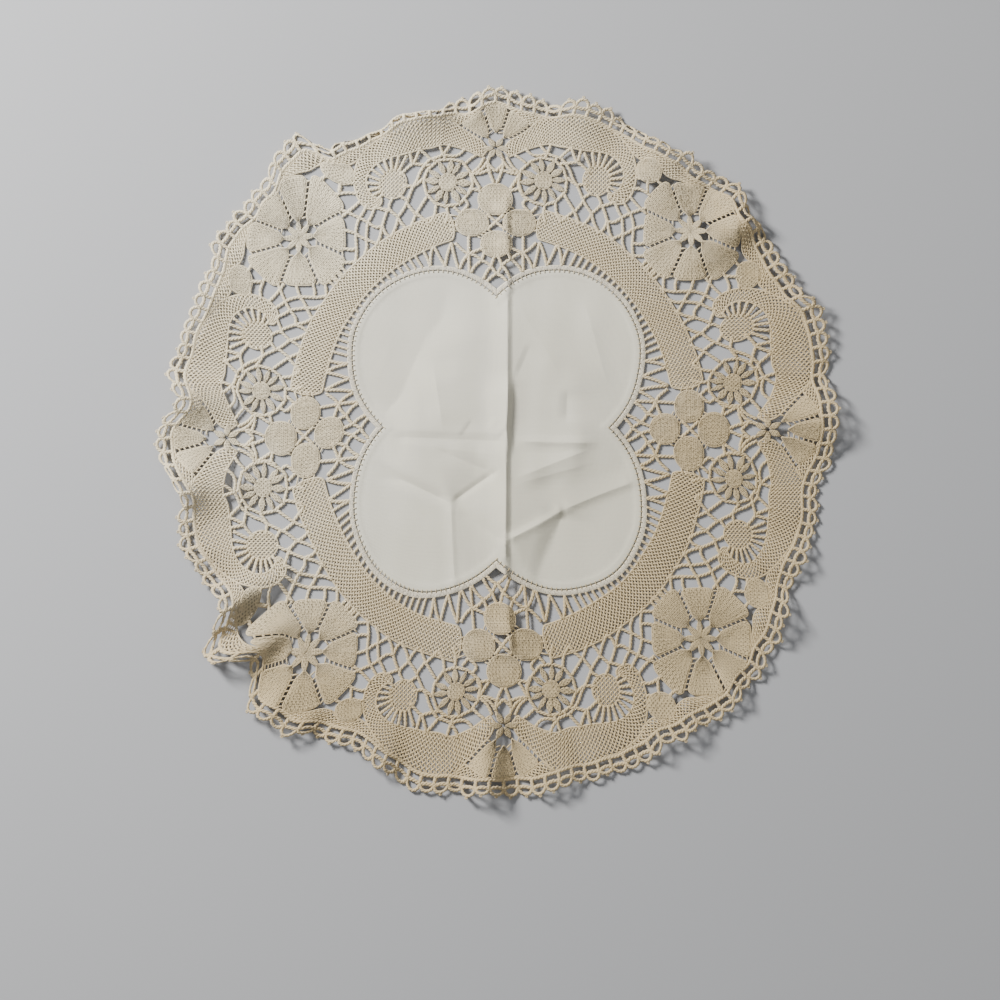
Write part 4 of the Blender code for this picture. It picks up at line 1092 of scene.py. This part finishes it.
# Each plait's route, from its first point to its last, in the eighth right of the axis or
# just across it.
PLAITS = [
    # Between the footing and the small flower.
    dict(x=(0.2, 2.0, 4.4), y=(67.2, 66.2, 63.6)),
    dict(x=(0.2, 2.4, 4.4, 6.4), y=(67.2, 70.9, 72.8, 73.8)),
    dict(x=(2.4, 0.6), y=(70.9, 76.4)),
    dict(x=(2.4, 4.2, 6.0), y=(70.9, 68.6, 65.4)),
    dict(x=(6.4, 4.8), y=(73.8, 78.4)),
    dict(x=(6.4, 9.0, 11.9), y=(73.8, 76.1, 77.1)),
    dict(x=(6.4, 9.4, 11.6), y=(73.8, 71.2, 69.0)),
    dict(x=(11.9, 8.6, 4.6), y=(77.1, 78.4, 80.2)),
    dict(x=(12.2, 11.9, 11.8), y=(69.4, 77.1, 86.6)),
    dict(x=(11.9, 14.6, 17.8), y=(77.1, 78.8, 82.4)),
    dict(x=(11.9, 14.4, 16.6), y=(77.1, 74.0, 71.0)),
    dict(x=(17.2, 18.2, 19.4), y=(71.0, 75.6, 82.6)),
    dict(x=(19.4, 21.4, 23.3), y=(82.6, 77.2, 72.6)),
    dict(x=(23.3, 25.2, 27.4), y=(72.6, 76.2, 81.6)),
    dict(x=(27.8, 29.0, 30.2), y=(81.4, 77.8, 72.8)),
    dict(x=(30.2, 31.0, 32.6), y=(72.8, 76.2, 80.2)),
    # Between the small flower, the star of the fan and the wheel.
    dict(x=(-3.7, 3.7), y=(96.0, 88.6)),
    dict(x=(2.6, 3.4, 2.3, 0.6), y=(121.8, 118.4, 113.6, 109.6)),
    dict(x=(3.3, 0.0), y=(118.0, 114.6)),
    dict(x=(1.8, 3.6, 6.4, 9.8), y=(114.8, 115.0, 114.0, 113.8)),
    dict(x=(3.4, 5.4, 8.2), y=(119.4, 116.4, 114.4)),
    dict(x=(4.9, 7.2, 10.2), y=(121.4, 117.0, 114.4)),
    dict(x=(10.4, 9.2, 6.4), y=(114.2, 111.6, 107.2)),
    dict(x=(10.4, 10.0, 11.6), y=(114.2, 108.6, 105.0)),
    dict(x=(6.0, 10.6), y=(106.4, 107.4)),
    dict(x=(14.0, 12.0, 15.2), y=(103.4, 100.4, 96.6)),
    dict(x=(18.4, 16.6, 14.6), y=(99.6, 97.8, 95.6)),
    dict(x=(21.6, 21.2, 22.4), y=(99.6, 95.6, 92.0)),
    dict(x=(26.4, 27.2, 29.6), y=(101.2, 96.4, 92.6)),
    dict(x=(16.4, 17.6), y=(90.4, 91.2)),
    # Between the wheel and the arch.
    dict(x=(8.4, 10.4, 13.4), y=(122.8, 121.6, 118.9)),
    dict(x=(13.2, 16.0, 19.4, 23.0), y=(127.0, 123.8, 123.0, 123.6)),
    dict(x=(20.0, 21.3, 24.2, 27.2, 29.4), y=(129.6, 126.4, 123.0, 121.6, 120.8)),
    dict(x=(25.0, 23.6, 22.2), y=(128.8, 124.6, 121.6)),
    dict(x=(28.8, 31.8, 34.6), y=(120.9, 124.0, 126.4)),
    dict(x=(29.4, 31.4, 33.4, 34.6, 36.4), y=(120.8, 118.4, 115.0, 111.6, 108.8)),
    dict(x=(28.8, 32.6, 36.6), y=(118.2, 118.6, 119.4)),
    dict(x=(27.0, 27.5), y=(119.8, 121.8)),
    dict(x=(34.0, 36.2, 38.6, 42.2), y=(125.6, 119.9, 118.0, 114.6)),
    dict(x=(38.4, 37.0), y=(125.4, 119.4)),
    # The lattice between the hook and the inner trail.
    dict(x=(35.8, 41.0), y=(109.0, 109.6)),
    dict(x=(32.0, 34.2, 36.4, 38.6, 40.4, 43.2), y=(112.2, 110.2, 108.6, 103.8, 100.2, 96.4)),
    dict(x=(38.8, 43.0), y=(103.2, 105.6)),
    dict(x=(30.4, 34.0, 35.8, 37.8), y=(104.6, 99.4, 96.4, 91.4)),
    dict(x=(35.6, 38.2, 39.6), y=(97.4, 100.6, 102.6)),
    dict(x=(35.4, 32.2, 29.6), y=(97.8, 95.2, 92.8)),
    dict(x=(43.2, 42.0, 39.2), y=(96.4, 94.0, 90.8)),
    dict(x=(43.2, 44.4, 46.8), y=(96.4, 92.0, 87.4)),
    dict(x=(43.2, 46.4, 47.2, 45.4), y=(96.4, 99.2, 101.4, 105.0)),
    dict(x=(46.6, 50.0, 53.6), y=(99.4, 100.2, 101.4)),
    dict(x=(47.8, 49.2, 50.4, 51.6, 53.8), y=(100.0, 96.4, 92.4, 87.8, 84.2)),
    dict(x=(50.2, 48.8, 46.6), y=(92.8, 89.4, 87.6)),
    dict(x=(50.2, 53.4, 56.8, 60.2, 64.4, 68.6), y=(92.8, 92.6, 94.8, 96.6, 98.2, 99.6)),
    dict(x=(53.4, 55.2, 56.8, 57.4, 57.8, 57.8, 59.2), y=(101.8, 97.4, 94.6, 91.0, 87.4, 84.0, 80.4)),
    dict(x=(57.2, 59.0, 61.2, 62.4, 62.6, 62.6, 63.6), y=(102.6, 99.2, 95.6, 91.4, 87.0, 82.0, 76.4)),
    dict(x=(60.4, 63.2, 65.6, 68.4), y=(104.4, 101.2, 99.0, 96.8)),
    dict(x=(52.4, 55.2, 57.8, 60.2, 63.0, 68.4), y=(84.8, 86.2, 87.4, 88.4, 90.2, 91.6)),
    dict(x=(62.4, 65.6, 68.6), y=(83.6, 83.2, 83.8)),
    dict(x=(61.6, 66.0, 69.8), y=(78.2, 77.8, 78.0)),
    dict(x=(68.4, 71.6), y=(71.6, 74.6)),
    # Between the hook, the big flower and the corner's disc.
    dict(x=(61.6, 65.4, 70.6), y=(107.4, 107.6, 105.0)),
    dict(x=(69.0, 68.9, 69.2), y=(106.4, 110.0, 113.0)),
    dict(x=(63.2, 66.4, 69.0), y=(112.6, 112.2, 113.4)),
    dict(x=(72.6, 74.6, 77.0), y=(113.4, 111.2, 109.8)),
]
FLOWER_LEGS = (42.6, 44.4)  # degrees from the axis, big flower to inner trail
LADDER = (25.1, 44.5, 2.1)  # degrees: the first bar of the ladder, the limit and the step
GAP = 0.3
FOOT_REACH = 3.5  # a plait that ends nearer than this to the footing is sewn to it
FOOTING_WIDTH = 2.3


def footing_radius(degrees):
    """The footing's outer edge, from the middle, at an angle from the axis."""
    reach_in = LOBE_OFFSET * math.sqrt(2)
    off = math.radians(45 - degrees)
    outer = LOBE_RADIUS + GAP + FOOTING_WIDTH
    return reach_in * math.cos(off) + math.sqrt(outer**2 - (reach_in * math.sin(off)) ** 2)


def plaited(line, wide=PLAIT, pitch=3.3):
    """The two strands of a plait along a flat line."""
    line = at_spacing(line, 0.72)
    run = np.concatenate([[0], np.cumsum(np.hypot(*np.diff(line[:, :2], axis=0).T))])
    along = np.gradient(line[:, :2], axis=0)
    along /= np.linalg.norm(along, axis=1)[:, None] + 1e-9
    side = np.column_stack([-along[:, 1], along[:, 0]])
    turn = 2 * math.pi * run / pitch + 6.28 * chance.random()
    strands = []
    for phase in (0.0, math.pi):
        out = 0.2 * wide * np.sin(turn + phase)
        up = 0.16 * np.cos(turn + phase)
        strands.append(np.column_stack([line[:, :2] + side * out[:, None], up]))
    return strands


routes = []
for row in PLAITS:
    ends = []
    for x, y in zip(row["x"], row["y"]):
        edge = footing_radius(math.degrees(math.atan2(abs(x), y)))
        scale = (edge - 0.3) / math.hypot(x, y) if math.hypot(x, y) < edge + FOOT_REACH else 1
        ends.append(dict(x=scale * x, y=scale * y))
    routes.append(smooth_line(ends, ("x", "y"), 5))
for bearing, length in BUD_LEGS:
    east, north = polar(1, bearing)
    rim = 1 / math.hypot(east / BUD_RADII[0], north / BUD_RADII[1])
    routes.append(np.array([polar(rim, bearing, BUD), polar(length, bearing, BUD)]))
for angle in FLOWER_LEGS:
    routes.append(np.array([polar(trail_out - 0.5, angle), polar(trail_out + 4, angle)]))
rungs = []
for angle in np.arange(*LADDER):
    rungs.append(np.array([polar(footing_radius(angle) - 0.4, angle), polar(trail_in + 0.6, angle)]))
strands = []
for lines, wide in ((routes, PLAIT), (rungs, 0.75 * PLAIT)):
    for line in everywhere(lines):
        strands += plaited(line, wide)
for ring in rings:
    strands += plaited(ring)
lace.append(lace_piece("plaited_ground", cords(strands, 0.29 * PLAIT, 0.34), thread_finish))


# ==== The footing =========================================================================
# A narrow cloth-stitch braid follows the linen's edge, and small overcast stitches of the same
# thread sew it to the hem.

inner_edge = lobed(LOBE_RADIUS + 0.35, 230)
outer_edge = lobed(LOBE_RADIUS + GAP + FOOTING_WIDTH, 230)
columns = np.linspace(0, 1, 5)[:, None, None]
closed = np.arange(len(inner_edge) + 1) % len(inner_edge)
braid = rightly_wound(woven((inner_edge * (1 - columns) + outer_edge * columns)[:, closed]))
footing_finish = cloth(
    "footing_cloth", (0.77, 0.71, 0.585), (0.69, 0.61, 0.45), 0.35,
    pinned, {"Threads per mm": 2.0, "Slubs": 0.6, "Pin marks": 1.0}, 0.5, 0.88, 0.55,
)
lace.append(lace_piece("footing_braid", braid, footing_finish))

edge = lobed(LOBE_RADIUS, 56)
out = edge - np.roll(edge, 1, axis=0)
out = np.column_stack([out[:, 1], -out[:, 0]])
out /= np.hypot(*out.T)[:, None] + 1e-9
out *= np.sign((out * edge).sum(axis=1))[:, None]
stitches = []
for place, away in zip(edge, out):
    line = [place - 0.9 * away, place - 0.5 * away, place + 0.2 * away, place + 0.8 * away]
    stitches.append(np.column_stack([line, (0.05, 0.42, 0.45, 0.2)]))
lace.append(lace_piece("sewing_stitches", cords(stitches, 0.17, 0.14), thread_finish))


# ==== The edging ==========================================================================
# A narrow plaited edging goes round the whole doily: a straight inner cord, short bars across to
# a waved outer cord, and low loops on that, most of them with a tiny pointed picot.

EDGING = table(
    "angle radius",
    (0.0, 150.2),
    (6.0, 149.6),
    (10.0, 148.0),
    (20.0, 147.4),
    (28.0, 145.4),
    (33.0, 147.0),
    (38.0, 150.0),
    (45.0, 152.4),
)
TEETH = 156
LOOP_LEAST, LOOP_MORE = 2.3, 1.7  # the height of a loop, and how much higher some stand
BARE_LOOPS = 0.3  # the share of the loops without a picot


def edging_radius(bearing):
    """The middle of the edging at a bearing."""
    from_axis = np.asarray(bearing) % 90
    angle = np.minimum(from_axis, 90 - from_axis)
    return np.interp(angle, [r["angle"] for r in EDGING], [r["radius"] for r in EDGING])


def round_rim(bearings, offset):
    bearings = np.asarray(bearings, float)
    radius = edging_radius(bearings) + offset
    turn = np.radians(bearings)
    return np.column_stack([radius * np.sin(turn), radius * np.cos(turn)])


strands, picots = [], []
pitch = 360 / TEETH
u = np.linspace(0, 1, 9)
for tooth in range(TEETH):
    start = tooth * pitch
    height = LOOP_LEAST + LOOP_MORE * chance.random()
    way = np.pi * u
    crown = start + (0.5 - 0.47 * np.cos(way)) * pitch
    strands += plaited(round_rim(crown, 1.2 + height * np.sin(way) ** 0.8), 1.6, 2.6)
    lean = 0.12 * pitch * (chance.random() - 0.5)
    strands += plaited(round_rim([start, start + lean], [-2.4, 1.3]), 2.3, 2.6)
    if chance.random() < BARE_LOOPS:
        continue
    middle = start + (0.5 + 0.16 * (chance.random() - 0.5)) * pitch
    b = middle + np.degrees(0.5 * np.sin(2 * way) * (1 - 0.35 * np.cos(2 * way)) / 152)
    line = round_rim(b, 1.2 + height + 0.5 + 0.4 * (1 - np.cos(2 * way)))
    picots.append(np.column_stack([line, 0.1 * np.sin(2 * way)]))
for quarter in range(4):
    b = 90 * quarter + np.linspace(0, 90, 240)
    strands += plaited(round_rim(b, -2.35), 1.8, 3.0)
    strands += plaited(round_rim(b, 1.1 + 0.3 * np.cos(2 * np.pi * b / pitch)), 2.2, 3.0)
lace.append(lace_piece("plaited_edging", cords(strands, 0.56, 0.36), thread_finish))
lace.append(lace_piece("picots", cords(picots, 0.24, 0.2), thread_finish))
